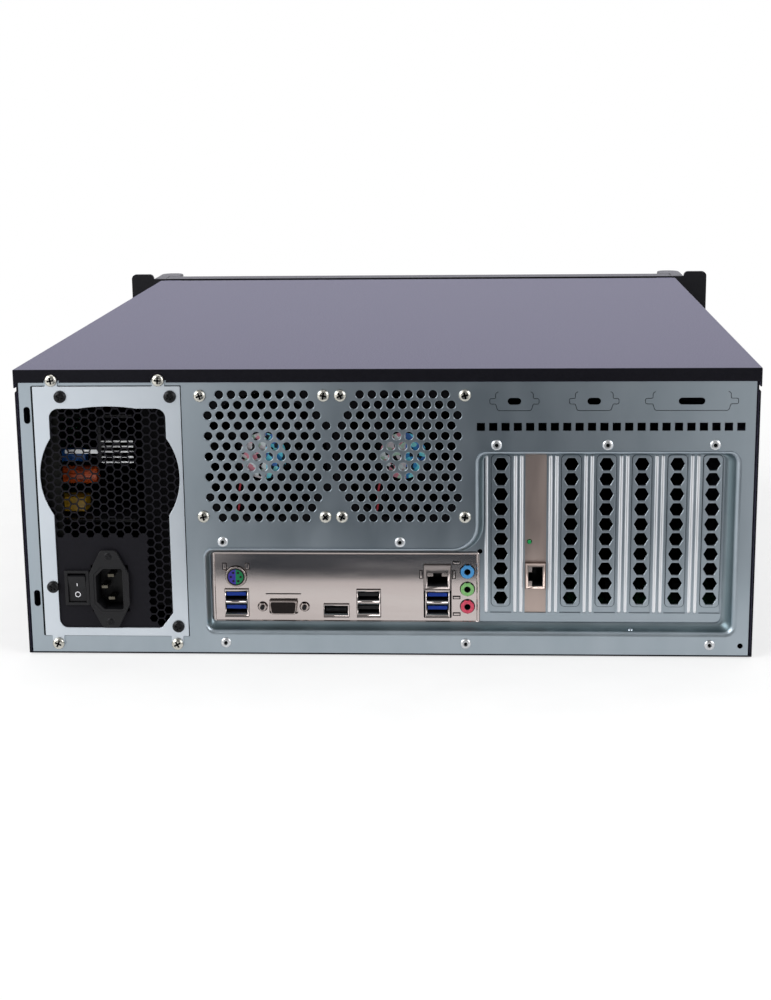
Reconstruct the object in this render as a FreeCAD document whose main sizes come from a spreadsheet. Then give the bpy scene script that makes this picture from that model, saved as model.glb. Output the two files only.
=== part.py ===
import FreeCAD
import Part
import Sketcher
import math
import os
import re
from types import SimpleNamespace

Vector = FreeCAD.Vector

# A rack server in a folded steel case. Millimetres, +Z up, front towards -Y, rear panel towards +Y.
# The origin is on the underside of the case, midway across it and midway along the top cover.
# Depths are counted from the rear panel's outer face into the case.

SIZES = {
    # Case, folded from sheet
    "body_width": 428.0,
    "body_depth": 483.0,
    "body_height": 171.0,
    "sheet": 1.0,
    "clearance": 0.3,
    "joggle": 1.1,
    "joggle_drop": 13.5,
    "rim": 13.0,
    "nose": 12.0,
    # Top cover
    "cover_overhang": 0.35,
    "cover_skirt": 10.8,
    "cover_lip": 7.7,
    "notch_radius": 4.6,
    "cover_screw_pitch": 180.0,
    # Rear panel and its stamped recess
    "panel_flange": 12.0,
    "recess_depth": 6.3,
    "recess_bottom": 13.3,
    "recess_top": 122.3,
    "recess_step": 64.6,
    "recess_radius": 6.0,
    "step_radius": 14.0,
    "recess_margin": 3.4,
    "rivet_shift": 2.6,
    "rivet_margin": 4.1,
    "oblong_share": 0.48,
    "oblong_length": 10.0,
    "oblong_low": 34.0,
    "oblong_high": 144.2,
    "corner_hole": 1.7,
    "corner_margin": 4.2,
    # Fan vents
    "fan_x": 29.8,
    "fan_pitch": 81.2,
    "fan_share": 0.8075,
    "fan_hole_pitch": 71.5,
    "vent_pitch": 10.0,
    "vent_radius": 4.1,
    "vent_rows": 9,
    "vent_columns": 7,
    "vent_sides": 4,
    # Row of square vents and the connector knock-outs above the slots
    "square_side": 4.7,
    "square_pitch": 7.04,
    "square_count": 22,
    "square_x": -55.7,
    "square_share": 0.317,
    "knockout_share": 0.634,
    "knockout_height": 4.0,
    "small_knockout": 7.7,
    "large_knockout": 15.0,
    "small_knockout_x": -74.8,
    "small_knockout_pitch": 45.3,
    "large_knockout_x": -175.3,
    # Expansion slots
    "slot_x": -67.3,
    "slot_pitch": 20.32,
    "slot_margin": 14.0,
    "slot_opening": 12.4,
    "slot_bottom": 24.5,
    "slot_top": 119.8,
    "slot_count": 7,
    "bracket_width": 18.4,
    "bracket_sheet": 0.9,
    "bracket_bottom": 20.5,
    "bracket_top": 126.0,
    "bracket_tab": 5.3,
    "cell_radius": 4.05,
    "cell_pitch": 8.93,
    "cell_top": 113.9,
    "cell_rows": 10,
    "rib_width": 1.7,
    "rib_height": 0.9,
    "rib_spread": 3.4,
    # Rear port opening and shield
    "io_x": 24.2,
    "io_width": 158.75,
    "io_bottom": 17.3,
    "io_height": 44.45,
    "shield_sheet": 0.5,
    # Main board
    "board_width": 305.0,
    "board_depth": 244.0,
    "board_z": 19.5,
    "board_thickness": 1.6,
    "board_start": 9.0,
    "deck_z": 12.0,
    "deck_start": 12.0,
    "standoff_radius": 3.0,
    "standoff_edge": 10.0,
    # Rear ports
    "port_face": 4.8,
    "port_body": 8.4,
    "port_depth": 26.0,
    "usb_width": 14.4,
    "usb_stack": 17.2,
    "usb_mouth_width": 12.6,
    "usb_mouth_height": 5.4,
    "usb_low": 5.6,
    "usb_rise": 8.0,
    "usb_tongue": 1.9,
    "usb_mouth_depth": 10.0,
    "left_port_x": 89.1,
    "middle_port_x": 10.6,
    "right_port_x": -30.2,
    "ps2_radius": 6.4,
    "ps2_z": 46.1,
    "ps2_top": 53.6,
    "lan_z": 44.9,
    "lan_width": 15.9,
    "lan_top": 53.6,
    "lan_mouth_width": 11.9,
    "lan_mouth_height": 8.2,
    "lan_mouth_depth": 13.0,
    "vga_x": 61.2,
    "vga_z": 27.6,
    "vga_width": 16.6,
    "vga_height": 8.4,
    "vga_flange": 31.0,
    "vga_stand": 1.5,
    "vga_jack_pitch": 25.0,
    "vga_jack_radius": 2.7,
    "hdmi_x": 29.8,
    "hdmi_z": 26.3,
    "hdmi_width": 15.2,
    "hdmi_height": 6.0,
    "audio_x": -47.8,
    "audio_z": 28.2,
    "audio_pitch": 10.66,
    "audio_radius": 4.2,
    "audio_bore": 1.8,
    "audio_width": 13.0,
    # Network card
    "card_slot": 1,
    "card_thickness": 1.6,
    "card_height": 74.0,
    "card_length": 112.0,
    "card_port_z": 47.0,
    "card_port_width": 11.8,
    "card_port_height": 15.8,
    "card_mouth_width": 8.4,
    "card_mouth_height": 11.8,
    "card_lamp_z": 67.5,
    "card_lamp_side": 3.6,
    "card_lamp_radius": 1.3,
    "socket_height": 11.0,
    "socket_width": 7.6,
    "socket_length": 88.0,
    "socket_start": 46.0,
    # Processor cooler and memory
    "cooler_x": 34.0,
    "cooler_depth": 105.0,
    "cooler_base": 8.0,
    "cooler_height": 40.0,
    "cooler_fins": 11,
    "fin_thickness": 1.2,
    "memory_x": -24.0,
    "memory_pitch": 9.4,
    "memory_count": 4,
    "memory_length": 133.0,
    "memory_height": 32.0,
    "memory_thickness": 3.6,
    "memory_start": 62.0,
    # Power supply
    "psu_shift": 0.5125,
    "psu_rise": 0.7,
    "psu_width": 86.0,
    "psu_margin": 21.0,
    "psu_depth": 140.0,
    "psu_wall": 0.9,
    "psu_slack": 0.4,
    "psu_screw_left": 16.0,
    "psu_screw_right": 6.0,
    "psu_screw_edge": 6.0,
    "psu_screw_low": 30.0,
    "psu_fan_depth": 72.0,
    "window_side": 9.0,
    "window_crest": 13.0,
    "window_foot": 5.0,
    "window_radius": 5.5,
    "window_chamfer": 7.0,
    "window_chamfer_rise": 9.1,
    "bulge_side": 2.0,
    "bulge_rise": 21.6,
    "plate_tab_radius": 4.2,
    "plate_top_left": 31.8,
    "plate_top_right": -30.5,
    "plate_top_margin": 6.3,
    "plate_low_left": 35.4,
    "plate_low_right": -36.1,
    "plate_low_z": 6.4,
    "comb_radius": 5.6,
    "comb_pitch": 11.2,
    "comb_floor": 60.0,
    "comb_strip": 17.0,
    "inlet_side": 30.9,
    "inlet_rise": 29.0,
    "inlet_width": 23.6,
    "inlet_height": 30.0,
    "inlet_flange": 47.4,
    "inlet_flange_width": 12.0,
    "inlet_stand": 2.6,
    "inlet_depth": 15.5,
    "inlet_mouth_width": 15.8,
    "inlet_mouth_height": 24.6,
    "inlet_mouth_depth": 13.0,
    "inlet_corner": 4.5,
    "pin_tip": 3.2,
    "pin_width": 2.0,
    "pin_height": 4.0,
    "pin_spread": 7.0,
    "earth_offset": 4.0,
    "switch_side": 11.5,
    "switch_rise": 29.6,
    "switch_width": 14.6,
    "switch_height": 21.0,
    "switch_stand": 1.8,
    "switch_depth": 10.0,
    "rocker_width": 10.2,
    "rocker_height": 16.0,
    "rocker_front": 2.6,
    "rocker_tilt": 9.0,
    "rocker_pivot": 2.0,
    "axle_radius": 1.0,
    "axle_reach": 0.8,
    "psu_board_gap": 5.0,
    "psu_board_thickness": 1.6,
    "psu_part_depth": 26.0,
    "transformer_size": 9.0,
    "transformer_reach": 20.5,
    "transformer_rise": 75.0,
    "coil_radius": 5.5,
    "coil_bore": 2.5,
    "coil_length": 28.0,
    "coil_rise": 92.4,
    "capacitor_radius": 4.2,
    "capacitor_length": 21.6,
    "capacitor_rise": 104.6,
    "sink_thickness": 2.0,
    "sink_gap": 34.0,
    "sink_root": 33.0,
    "sink_length": 92.0,
    "sink_start": 14.0,
    "sink_low_rise": 66.8,
    "sink_high_rise": 129.8,
    "sink_fins": 5,
    "sink_fin_rise": 101.9,
    "sink_fin_pitch": 3.1,
    "sink_fin_thickness": 1.0,
    # Fans
    "fan_depth": 25.0,
    "small_fan": 80.0,
    "small_bore": 38.0,
    "small_hub": 16.5,
    "small_tip": 34.6,
    "large_fan": 120.0,
    "large_bore": 58.0,
    "large_hub": 20.5,
    "large_tip": 53.5,
    "base_start": 2.0,
    "base_thickness": 2.5,
    "strut_width": 5.0,
    "fan_struts": 4,
    "shaft_radius": 1.5,
    "shaft_clearance": 0.05,
    "hub_gap": 0.4,
    "rotor_depth": 18.5,
    "blade_chord": 17.0,
    "blade_thickness": 2.4,
    "blade_margin": 1.5,
    "blade_count": 7,
    "bore_sides": 14,
    "hub_sides": 8,
    "lead_radius": 0.65,
    # Front panel with its rack ears
    "rack_width": 482.6,
    "ear_rise": 4.0,
    "ear_radius": 4.0,
    "ear_width": 18.7,
    "front_plate": 3.0,
    "rack_hole_width": 465.1,
    "rack_hole_height": 101.6,
    "rack_hole_length": 10.3,
    "rack_hole_radius": 3.4,
    "front_rise": 0.2,
    "front_rail": 15.0,
    "front_rail_drop": 5.2,
    "front_fan_x": -120.0,
    "front_fan_z": 86.0,
    # Front bezel
    "bezel_width": 424.6,
    "bezel_bottom": 0.5,
    "bezel_depth": 17.0,
    "bezel_wall": 2.0,
    "bezel_face": 1.5,
    "grille_slots": 13,
    "grille_pitch": 9.0,
    "grille_slot_height": 5.0,
    "grille_width": 122.0,
    "bay_x": 124.0,
    "bay_width": 146.6,
    "bay_height": 41.8,
    "bay_pitch": 42.5,
    "bay_bottom": 21.0,
    "bay_count": 3,
    "bay_cover": 3.6,
    "bay_cover_stand": 0.6,
    # Handles
    "handle_width": 18.8,
    "handle_flank": 10.4,
    "handle_reach": 28.0,
    "handle_grip": 10.0,
    "handle_arm": 40.0,
    "handle_outer_radius": 9.0,
    "handle_inner_radius": 7.0,
    # Front controls
    "control_x": 6.0,
    "control_width": 32.0,
    "control_foot_drop": 111.2,
    "control_top_drop": 15.2,
    "control_board": 1.6,
    "power_drop": 43.2,
    "power_radius": 7.0,
    "reset_drop": 65.2,
    "reset_radius": 3.5,
    "button_stand": 2.0,
    "button_collar": 1.2,
    "button_collar_depth": 2.5,
    "button_back": 5.5,
    "lamp_drop": 24.2,
    "lamp_radius": 1.6,
    "lamp_spread": 12.0,
    "front_usb_drop": 87.2,
    "front_usb_pitch": 14.0,
    "front_usb_width": 13.4,
    "front_usb_height": 6.0,
    # Drive cage and drives
    "cage_depth": 195.0,
    "cage_width": 150.0,
    "cage_top": 152.0,
    "shelf_low": 28.0,
    "shelf_pitch": 52.0,
    "drive_width": 101.6,
    "drive_length": 147.0,
    "drive_height": 26.1,
    "drive_start": 24.0,
    "drive_count": 2,
    # Fasteners
    "screw_radius": 3.3,
    "screw_head": 1.7,
    "rivet_radius": 3.1,
    "rivet_head": 1.1,
}

doc = FreeCAD.newDocument("server")
sheet = doc.addObject("Spreadsheet::Sheet", "Sizes")
for row, (alias, number) in enumerate(SIZES.items(), 1):
    sheet.set(f"A{row}", alias)
    sheet.set(f"B{row}", str(number))
    sheet.setAlias(f"B{row}", alias)
doc.recompute()
S = SimpleNamespace(**{alias: float(sheet.get(alias)) for alias in SIZES})

pieces = []

HEX = 6
SMALL_FACETS = 8
FACETS = 12
LARGE_FACETS = 32

AXES = {"x": Vector(1, 0, 0), "y": Vector(0, 1, 0), "z": Vector(0, 0, 1)}
TURNS = {
    "x": FreeCAD.Rotation(Vector(0, 1, 0), 90),
    "y": FreeCAD.Rotation(Vector(1, 0, 0), -90),
    "z": FreeCAD.Rotation(),
}
SKETCH_TURNS = {
    "x": FreeCAD.Rotation(Vector(1, 1, 1), 120),
    "y": FreeCAD.Rotation(Vector(1, 0, 0), 90),
    "z": FreeCAD.Rotation(),
}


# Building blocks: each takes its sizes as formulas of the sheet's names


def bind(item, prop, formula):
    item.setExpression(prop, re.sub(r"[a-z]\w+", r"Sizes.\g<0>", formula))


def piece(item, label):
    item.Label = label
    pieces.append(item)
    return item


def deep(near, far):
    return f"body_depth / 2 - ({far})", f"body_depth / 2 - ({near})"


def middle(centre, width):
    return f"{centre} - ({width}) / 2", f"{centre} + ({width}) / 2"


def place(item, start):
    for letter, formula in zip("xyz", start):
        bind(item, f"Placement.Base.{letter}", formula)


def box(name, x, y, z):
    item = doc.addObject("Part::Box", name)
    for prop, (low, high) in zip(("Length", "Width", "Height"), (x, y, z)):
        bind(item, prop, f"({high}) - ({low})")
    place(item, (x[0], y[0], z[0]))
    return item


def rod(name, axis, radius, start, length, sides=0):
    item = doc.addObject("Part::Prism" if sides else "Part::Cylinder", name)
    item.Placement = FreeCAD.Placement(Vector(), TURNS[axis])
    if sides:
        item.Polygon = int(sides)
    bind(item, "Circumradius" if sides else "Radius", radius)
    bind(item, "Height", length)
    place(item, start)
    return item


def group(name, items):
    item = doc.addObject("Part::Compound", name)
    item.Links = items
    return item


def joined(name, items):
    item = doc.addObject("Part::MultiFuse", name)
    item.Shapes = items
    item.Refine = True
    return item


def cut(name, base, tools):
    item = doc.addObject("Part::Cut", name)
    item.Base = base
    item.Tool = tools[0] if len(tools) == 1 else group(name + "_tools", tools)
    item.Refine = True
    return item


def rounded(corners):
    """Lines and arcs along a closed outline of (across, up, radius) corners."""
    points = [Vector(across, up, 0) for across, up, radius in corners]
    ends = []
    arcs = []
    for index, (across, up, radius) in enumerate(corners):
        point = points[index]
        back = (points[index - 1] - point).normalize()
        ahead = (points[(index + 1) % len(points)] - point).normalize()
        half_turn = back.getAngle(ahead) / 2
        reach = radius / math.tan(half_turn)
        first, last = point + back * reach, point + ahead * reach
        ends.append((first, last))
        if radius:
            inward = (back + ahead).normalize()
            crown = point + inward * (radius / math.sin(half_turn) - radius)
            arcs.append(Part.Arc(first, crown, last))
    lines = []
    for index, (first, last) in enumerate(ends):
        following = ends[(index + 1) % len(ends)][0]
        if (following - last).Length > 1e-6:
            lines.append(Part.LineSegment(last, following))
    return lines + arcs


def rectangle(left, right, bottom, top, radius=0.0):
    corners = [(left, bottom), (right, bottom), (right, top), (left, top)]
    return rounded([(across, up, radius) for across, up in corners])


def polygon(across, up, radius, sides, turn=0.0):
    angles = [turn + 2 * math.pi * step / sides for step in range(int(sides))]
    return rounded([(across + radius * math.cos(a), up + radius * math.sin(a), 0) for a in angles])


def extruded(name, axis, loops, start, length):
    """Solid with the given outer outline and holes, run along an axis."""
    sketch = doc.addObject("Sketcher::SketchObject", name + "_outline")
    sketch.Placement = FreeCAD.Placement(Vector(), SKETCH_TURNS[axis])
    for loop in loops:
        sketch.addGeometry(loop, False)
    bind(sketch, f"Placement.Base.{axis}", start)
    item = doc.addObject("Part::Extrusion", name)
    item.Base = sketch
    item.DirMode = "Custom"
    item.Dir = AXES[axis]
    item.Solid = True
    item.FaceMakerClass = "Part::FaceMakerBullseye"
    bind(item, "LengthFwd", length)
    return item


def body_sketch(body, name, role, offset="0"):
    sketch = body.newObject("Sketcher::SketchObject", name)
    plane = next(item for item in body.Origin.OriginFeatures if item.Role == role)
    sketch.AttachmentSupport = [(plane, "")]
    sketch.MapMode = "FlatFace"
    bind(sketch, "AttachmentOffset.Base.z", offset)
    return sketch


def draw_circle(sketch, radius):
    circle = sketch.addGeometry(Part.Circle(Vector(), AXES["z"], 1.0), False)
    sketch.addConstraint(Sketcher.Constraint("Coincident", circle, 3, -1, 1))
    number = sketch.addConstraint(Sketcher.Constraint("Radius", circle, 1.0))
    bind(sketch, f"Constraints[{number}]", radius)


def draw_polygon(sketch, corners):
    """Closed straight outline whose corners keep bound distances from the sketch's origin."""
    count = len(corners)
    angles = [2 * math.pi * step / count for step in range(count)]
    points = [Vector(math.cos(angle), math.sin(angle), 0) for angle in angles]
    lines = [Part.LineSegment(points[step - 1], points[step]) for step in range(count)]
    numbers = sketch.addGeometry(lines, False)
    for step in range(count):
        following = numbers[(step + 1) % count]
        sketch.addConstraint(Sketcher.Constraint("Coincident", numbers[step], 2, following, 1))
    for step, formulas in enumerate(corners):
        for kind, formula, start in zip(("DistanceX", "DistanceY"), formulas, points[step]):
            rule = Sketcher.Constraint(kind, -1, 1, numbers[step], 2, start)
            number = sketch.addConstraint(rule)
            bind(sketch, f"Constraints[{number}]", formula)


def flat_ring(radius, sides):
    """Corners of a regular outline about the sketch's origin."""
    angles = [2 * math.pi * (step + 0.5) / sides for step in range(int(sides))]
    return [(f"{radius} * {math.cos(angle):.5f}", f"{radius} * {math.sin(angle):.5f}") for angle in angles]


def pad(body, sketch, length):
    feature = body.newObject("PartDesign::Pad", sketch.Name + "_pad")
    feature.Profile = sketch
    bind(feature, "Length", length)
    body.Tip = feature
    return feature


def polar(body, feature, count):
    pattern = body.newObject("PartDesign::PolarPattern", feature.Name + "_ring")
    pattern.Originals = [feature]
    axis = next(item for item in body.Origin.OriginFeatures if item.Role == "Z_Axis")
    pattern.Axis = (axis, [""])
    pattern.Angle = 360
    bind(pattern, "Occurrences", count)
    body.Tip = pattern
    return pattern


WALL = "body_width / 2"
UPPER = "(body_width / 2 - joggle)"
COVER = "(body_width / 2 + cover_overhang)"
CEILING = "(body_height - sheet)"
FLOOR = "(recess_depth + sheet)"
BOARD_TOP = "(board_z + board_thickness)"
BEND = math.tan(math.pi / 8)
JOGGLE = "(body_height - joggle_drop)"
PANEL_HALF = "(body_width / 2 - joggle - sheet - clearance)"
RECESS_LEFT = "(io_x + io_width / 2 + recess_margin + sheet)"
FAN_SPACE = "(body_height - cover_lip - recess_step - small_fan)"
FAN_Z = f"(recess_step + small_fan / 2 + fan_share * {FAN_SPACE})"
PSU_X = f"(({PANEL_HALF} + {RECESS_LEFT}) / 2 + psu_shift)"
PSU_Z = "(body_height / 2 + psu_rise)"
PSU_LOW = "(psu_rise + psu_margin / 2)"
PSU_HIGH = "(body_height + psu_rise - psu_margin / 2)"
PLATE_Z = {"top": "(body_height - plate_top_margin)", "low": "plate_low_z"}
INLET_X = f"({PSU_X} + psu_width / 2 - window_side - inlet_side)"
INLET_Z = f"({PSU_LOW} + inlet_rise)"
SWITCH_X = f"({PSU_X} + psu_width / 2 - window_side - switch_side)"
SWITCH_Z = f"({PSU_LOW} + switch_rise)"
FRONT_TOP = "(body_height + front_rise)"

# The same places as numbers, for sketched outlines
panel_half = S.body_width / 2 - S.joggle - S.sheet - S.clearance
panel_top = S.body_height - 2 * S.sheet
recess_left = S.io_x + S.io_width / 2 + S.recess_margin
fan_space = S.body_height - S.cover_lip - S.recess_step - S.small_fan
fan_z = S.recess_step + S.small_fan / 2 + S.fan_share * fan_space
psu_x = (panel_half + recess_left + S.sheet) / 2 + S.psu_shift
psu_z = S.body_height / 2 + S.psu_rise
psu_bottom = S.psu_rise + S.psu_margin / 2
psu_top = S.body_height + S.psu_rise - S.psu_margin / 2
window_half = S.psu_width / 2 - S.window_side
bulge_radius = S.psu_width / 2 - S.bulge_side
inlet_x = psu_x + window_half - S.inlet_side
inlet_z = psu_bottom + S.inlet_rise
switch_x = psu_x + window_half - S.switch_side
switch_z = psu_bottom + S.switch_rise
front_top = S.body_height + S.front_rise
ear_top = S.body_height + S.ear_rise


# Base tray: floor and both side walls folded from one sheet. The walls step in under the cover's
# skirt and end in a rim that carries the cover.

step_low = f"{JOGGLE} - {BEND} * sheet"
tray_half = [
    (WALL, "0"),
    (WALL, JOGGLE),
    (UPPER, f"{JOGGLE} + joggle"),
    (UPPER, CEILING),
    (f"{UPPER} - rim", CEILING),
    (f"{UPPER} - rim", f"{CEILING} - sheet"),
    (f"{UPPER} - sheet", f"{CEILING} - sheet"),
    (f"{UPPER} - sheet", f"{step_low} + joggle"),
    (f"{WALL} - sheet", step_low),
    (f"{WALL} - sheet", "sheet"),
]
tray = doc.addObject("PartDesign::Body", "base_tray")
tray_sketch = body_sketch(tray, "tray_section", "XZ_Plane", "0 - body_depth / 2")
draw_polygon(tray_sketch, tray_half + [(f"0 - ({x})", z) for x, z in reversed(tray_half)])
pad(tray, tray_sketch, "body_depth + nose")
piece(tray, "base_tray")


# Top cover: a shallow lid with side skirts and a rear lip, notched round the two upper plate screws.

lid = doc.addObject("PartDesign::Body", "cover_fold")
lid_sketch = body_sketch(lid, "cover_section", "XZ_Plane", "0 - body_depth / 2 - sheet")
lid_half = [
    (COVER, "body_height"),
    (COVER, "body_height - cover_skirt"),
    (f"{COVER} - sheet", "body_height - cover_skirt"),
    (f"{COVER} - sheet", CEILING),
]
draw_polygon(lid_sketch, lid_half + [(f"0 - ({x})", z) for x, z in reversed(lid_half)])
pad(lid, lid_sketch, "body_depth + sheet")
lip_y = deep("0 - sheet", "0")
lip_z = ("body_height - cover_lip", CEILING)
lip = box("cover_rear_lip", middle("0", f"2 * ({COVER} - sheet)"), lip_y, lip_z)
notches = []
for side in ("left", "right"):
    start = (f"{PSU_X} + plate_top_{side}", lip_y[0], PLATE_Z["top"])
    notches.append(rod(f"cover_notch_{side}", "y", "notch_radius", start, "sheet", FACETS))
piece(cut("top_cover", joined("cover_with_lip", [lid, lip]), notches), "top_cover")

screws = []


def screw(axis, start):
    screws.append(rod(f"screw_{len(screws) + 1}", axis, "screw_radius", start, "screw_head", HEX))


for skin in (COVER, f"0 - {COVER} - screw_head"):
    for along in ("0 - cover_screw_pitch", "0", "cover_screw_pitch"):
        screw("x", (skin, along, "body_height - cover_skirt / 2"))


# Rear panel: one zinc-plated sheet with the fan vents, square vents and knock-outs, and a stamped
# recess that holds the port opening and the slot openings.

io_left = S.io_x + S.io_width / 2
io_right = S.io_x - S.io_width / 2
slot_places = [S.slot_x - S.slot_pitch * number for number in range(int(S.slot_count))]
recess_near = slot_places[0] + S.slot_margin
recess_far = slot_places[-1] - S.slot_margin


def recess_outline(grow):
    """The L-shaped recess: wide and low at the ports, tall at the slots."""
    radius = S.recess_radius + grow
    left = recess_left + grow
    bottom = S.recess_bottom - grow
    return rounded([
        (left, bottom, radius),
        (recess_far - grow, bottom, radius),
        (recess_far - grow, S.recess_top + grow, radius),
        (recess_near + grow, S.recess_top + grow, radius),
        (recess_near + grow, S.recess_step + grow, S.step_radius - grow),
        (left, S.recess_step + grow, radius),
    ])


def vent_places():
    """Staggered rows of round vents over both fans, with extra ones between the two fans."""
    row_rise = S.vent_pitch * math.sqrt(3) / 2
    middle_row = (S.vent_rows - 1) / 2
    places = []
    for row in range(int(S.vent_rows)):
        from_middle = abs(row - middle_row)
        up = fan_z + (row - middle_row) * row_rise
        count = S.vent_columns - row % 2 - (2 if from_middle == middle_row else 0)
        reach = (count - 1) / 2 * S.vent_pitch
        left_centre = S.fan_x + S.fan_pitch / 2
        right_centre = S.fan_x - S.fan_pitch / 2
        extra = 1 if from_middle < middle_row / 2 + 1 else 0
        places += [(left_centre - reach + S.vent_pitch * step, up) for step in range(int(count))]
        places += [(right_centre - reach + S.vent_pitch * step, up) for step in range(int(count) + extra)]
        if extra and row % 2:
            between = (left_centre - reach + right_centre + reach + S.vent_pitch) / 2
            places.append((between, up))
    return places


def oblong(across, up, width, height):
    """Slot with round ends along its longer side."""
    return rectangle(across - width / 2, across + width / 2, up - height / 2, up + height / 2,
                     min(width, height) / 2 - 1e-4)


psu_half = S.psu_width / 2 + S.psu_slack
panel_loops = [rectangle(-panel_half, panel_half, S.sheet, panel_top)]
panel_loops.append(rectangle(psu_x - psu_half, psu_x + psu_half,
                             psu_bottom - S.psu_slack, psu_top + S.psu_slack))
panel_loops.append(recess_outline(0.0))
side_strip = panel_half - psu_x - psu_half
for up in (S.oblong_low, S.oblong_high):
    across = panel_half - side_strip / 2
    panel_loops.append(oblong(across, up, S.oblong_share * side_strip, S.oblong_length))
panel_loops.append(polygon(S.corner_margin - panel_half, S.recess_bottom / 2, S.corner_hole, HEX))
panel_loops += [polygon(across, up, S.vent_radius, int(S.vent_sides)) for across, up in vent_places()]
square_z = S.recess_top + S.square_share * (panel_top - S.recess_top)
for number in range(int(S.square_count)):
    across = S.square_x - S.square_pitch * number
    half = S.square_side / 2
    panel_loops.append(rectangle(across - half, across + half, square_z - half, square_z + half))
knockouts = [(S.small_knockout_x, S.small_knockout)]
knockouts.append((S.small_knockout_x - S.small_knockout_pitch, S.small_knockout))
knockouts.append((S.large_knockout_x, S.large_knockout))
knockout_z = S.recess_top + S.knockout_share * (panel_top - S.recess_top)
for across, width in knockouts:
    low = knockout_z - S.knockout_height / 2
    panel_loops.append(rectangle(across - width / 2, across + width / 2, low, low + S.knockout_height))
panel_flat = extruded("panel_flat", "y", panel_loops, deep("0", "sheet")[0], "sheet")

recess_wall = extruded(
    "recess_wall", "y", [recess_outline(S.sheet), recess_outline(0.0)],
    deep("0", "recess_depth")[0], "recess_depth")
floor_loops = [recess_outline(S.sheet)]
floor_loops.append(rectangle(io_right, io_left, S.io_bottom, S.io_bottom + S.io_height))
for across in slot_places:
    half = S.slot_opening / 2
    floor_loops.append(rectangle(across - half, across + half, S.slot_bottom, S.slot_top))
recess_floor = extruded("recess_floor", "y", floor_loops, deep("recess_depth", FLOOR)[0], "sheet")

ribs = []
for number in range(int(S.slot_count) - 1):
    for side in (-1, 1):
        centre = f"slot_x - slot_pitch * {number + 0.5} + {side} * rib_spread / 2"
        ribs.append(box(
            f"recess_rib_{len(ribs) + 1}", middle(centre, "rib_width"),
            deep("recess_depth - rib_height", "recess_depth"), ("slot_bottom", "slot_top")))
panel_fold = box(
    "panel_top_flange", middle("0", f"2 * ({UPPER} - rim - clearance)"),
    deep("0", "panel_flange"), (f"{CEILING} - sheet", CEILING))
piece(joined("rear_panel", [panel_flat, recess_wall, recess_floor, panel_fold] + ribs), "rear_panel")

rivets = []


def rivet(across, up):
    start = (across, deep("0 - rivet_head", "0")[0], up)
    rivets.append(rod(f"rivet_{len(rivets) + 1}", "y", "rivet_radius", start, "rivet_head", HEX))


left_rivet = "io_x + io_width / 2 - 2 * rivet_margin"
far_rivet = "slot_x - slot_pitch * (slot_count - 1)"
for across in ("slot_x + rivet_shift", "slot_x - slot_pitch * (slot_count - 1) / 2", far_rivet):
    rivet(across, "recess_top + rivet_margin")
for across in (left_rivet, "io_x - 8 * rivet_margin"):
    rivet(across, "recess_step + rivet_margin")
for across in (left_rivet, "slot_x + 5 * rivet_margin", far_rivet):
    rivet(across, "recess_bottom - sheet - rivet_margin - rivet_head")
piece(group("panel_rivets", rivets), "panel_rivets")


# Slot covers: plain brackets with a column of hexagonal vents, one for each slot but the card's.


def bracket(name, number, holes):
    across = slot_places[number]
    half = S.bracket_width / 2
    loops = [rectangle(across - half, across + half, S.bracket_bottom, S.bracket_top)] + holes
    back = f"{FLOOR} + bracket_sheet"
    flat = extruded(name + "_flat", "y", loops, deep(FLOOR, back)[0], "bracket_sheet")
    tab = box(
        name + "_tab", middle(f"slot_x - slot_pitch * {number}", "bracket_width"),
        deep(f"{FLOOR} - bracket_tab", FLOOR), ("bracket_top - bracket_sheet", "bracket_top"))
    return joined(name, [flat, tab])


covers = []
for number in range(int(S.slot_count)):
    if number != int(S.card_slot):
        rows = [S.cell_top - S.cell_pitch * row for row in range(int(S.cell_rows))]
        cells = [polygon(slot_places[number], up, S.cell_radius, HEX) for up in rows]
        covers.append(bracket(f"slot_cover_{number + 1}", number, cells))
piece(group("slot_covers", covers), "slot_covers")


# Network card: bracket, board, upright socket and its lamp.

card_x = "(slot_x - slot_pitch * card_slot)"
card_middle = slot_places[int(S.card_slot)]
hole_half = S.card_port_width / 2 + S.clearance
hole_reach = S.card_port_height / 2 + S.clearance
card_hole = rectangle(card_middle - hole_half, card_middle + hole_half,
                      S.card_port_z - hole_reach, S.card_port_z + hole_reach)
lamp_hole = polygon(card_middle + S.card_lamp_side, S.card_lamp_z, S.card_lamp_radius + S.clearance, HEX)
card_bracket = bracket("network_bracket", int(S.card_slot), [card_hole, lamp_hole])
piece(card_bracket, "network_bracket")
card_edge = f"({card_x} - card_port_width / 2)"
card_start = f"({FLOOR} + bracket_sheet)"
card_bottom = f"({BOARD_TOP} + socket_height)"
piece(box(
    "network_card", (f"{card_edge} - card_thickness", card_edge),
    deep(card_start, f"{card_start} + card_length"),
    (card_bottom, f"{card_bottom} + card_height")), "network_card")
card_port_body = box(
    "network_port_body", (card_edge, f"{card_edge} + card_port_width"),
    deep("port_face", "port_face + port_depth"), middle("card_port_z", "card_port_height"))
card_mouth = box(
    "network_port_mouth", middle(card_x, "card_mouth_width"),
    deep("port_face", "port_face + lan_mouth_depth"), middle("card_port_z", "card_mouth_height"))
piece(cut("network_port", card_port_body, [card_mouth]), "network_port")
piece(rod(
    "network_lamp", "y", "card_lamp_radius",
    (f"{card_x} + card_lamp_side", deep("recess_depth", card_start)[0], "card_lamp_z"),
    f"{card_start} - recess_depth", HEX), "network_lamp")


# Main board on standoffs over a raised deck, with card sockets, memory and the processor cooler.

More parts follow.
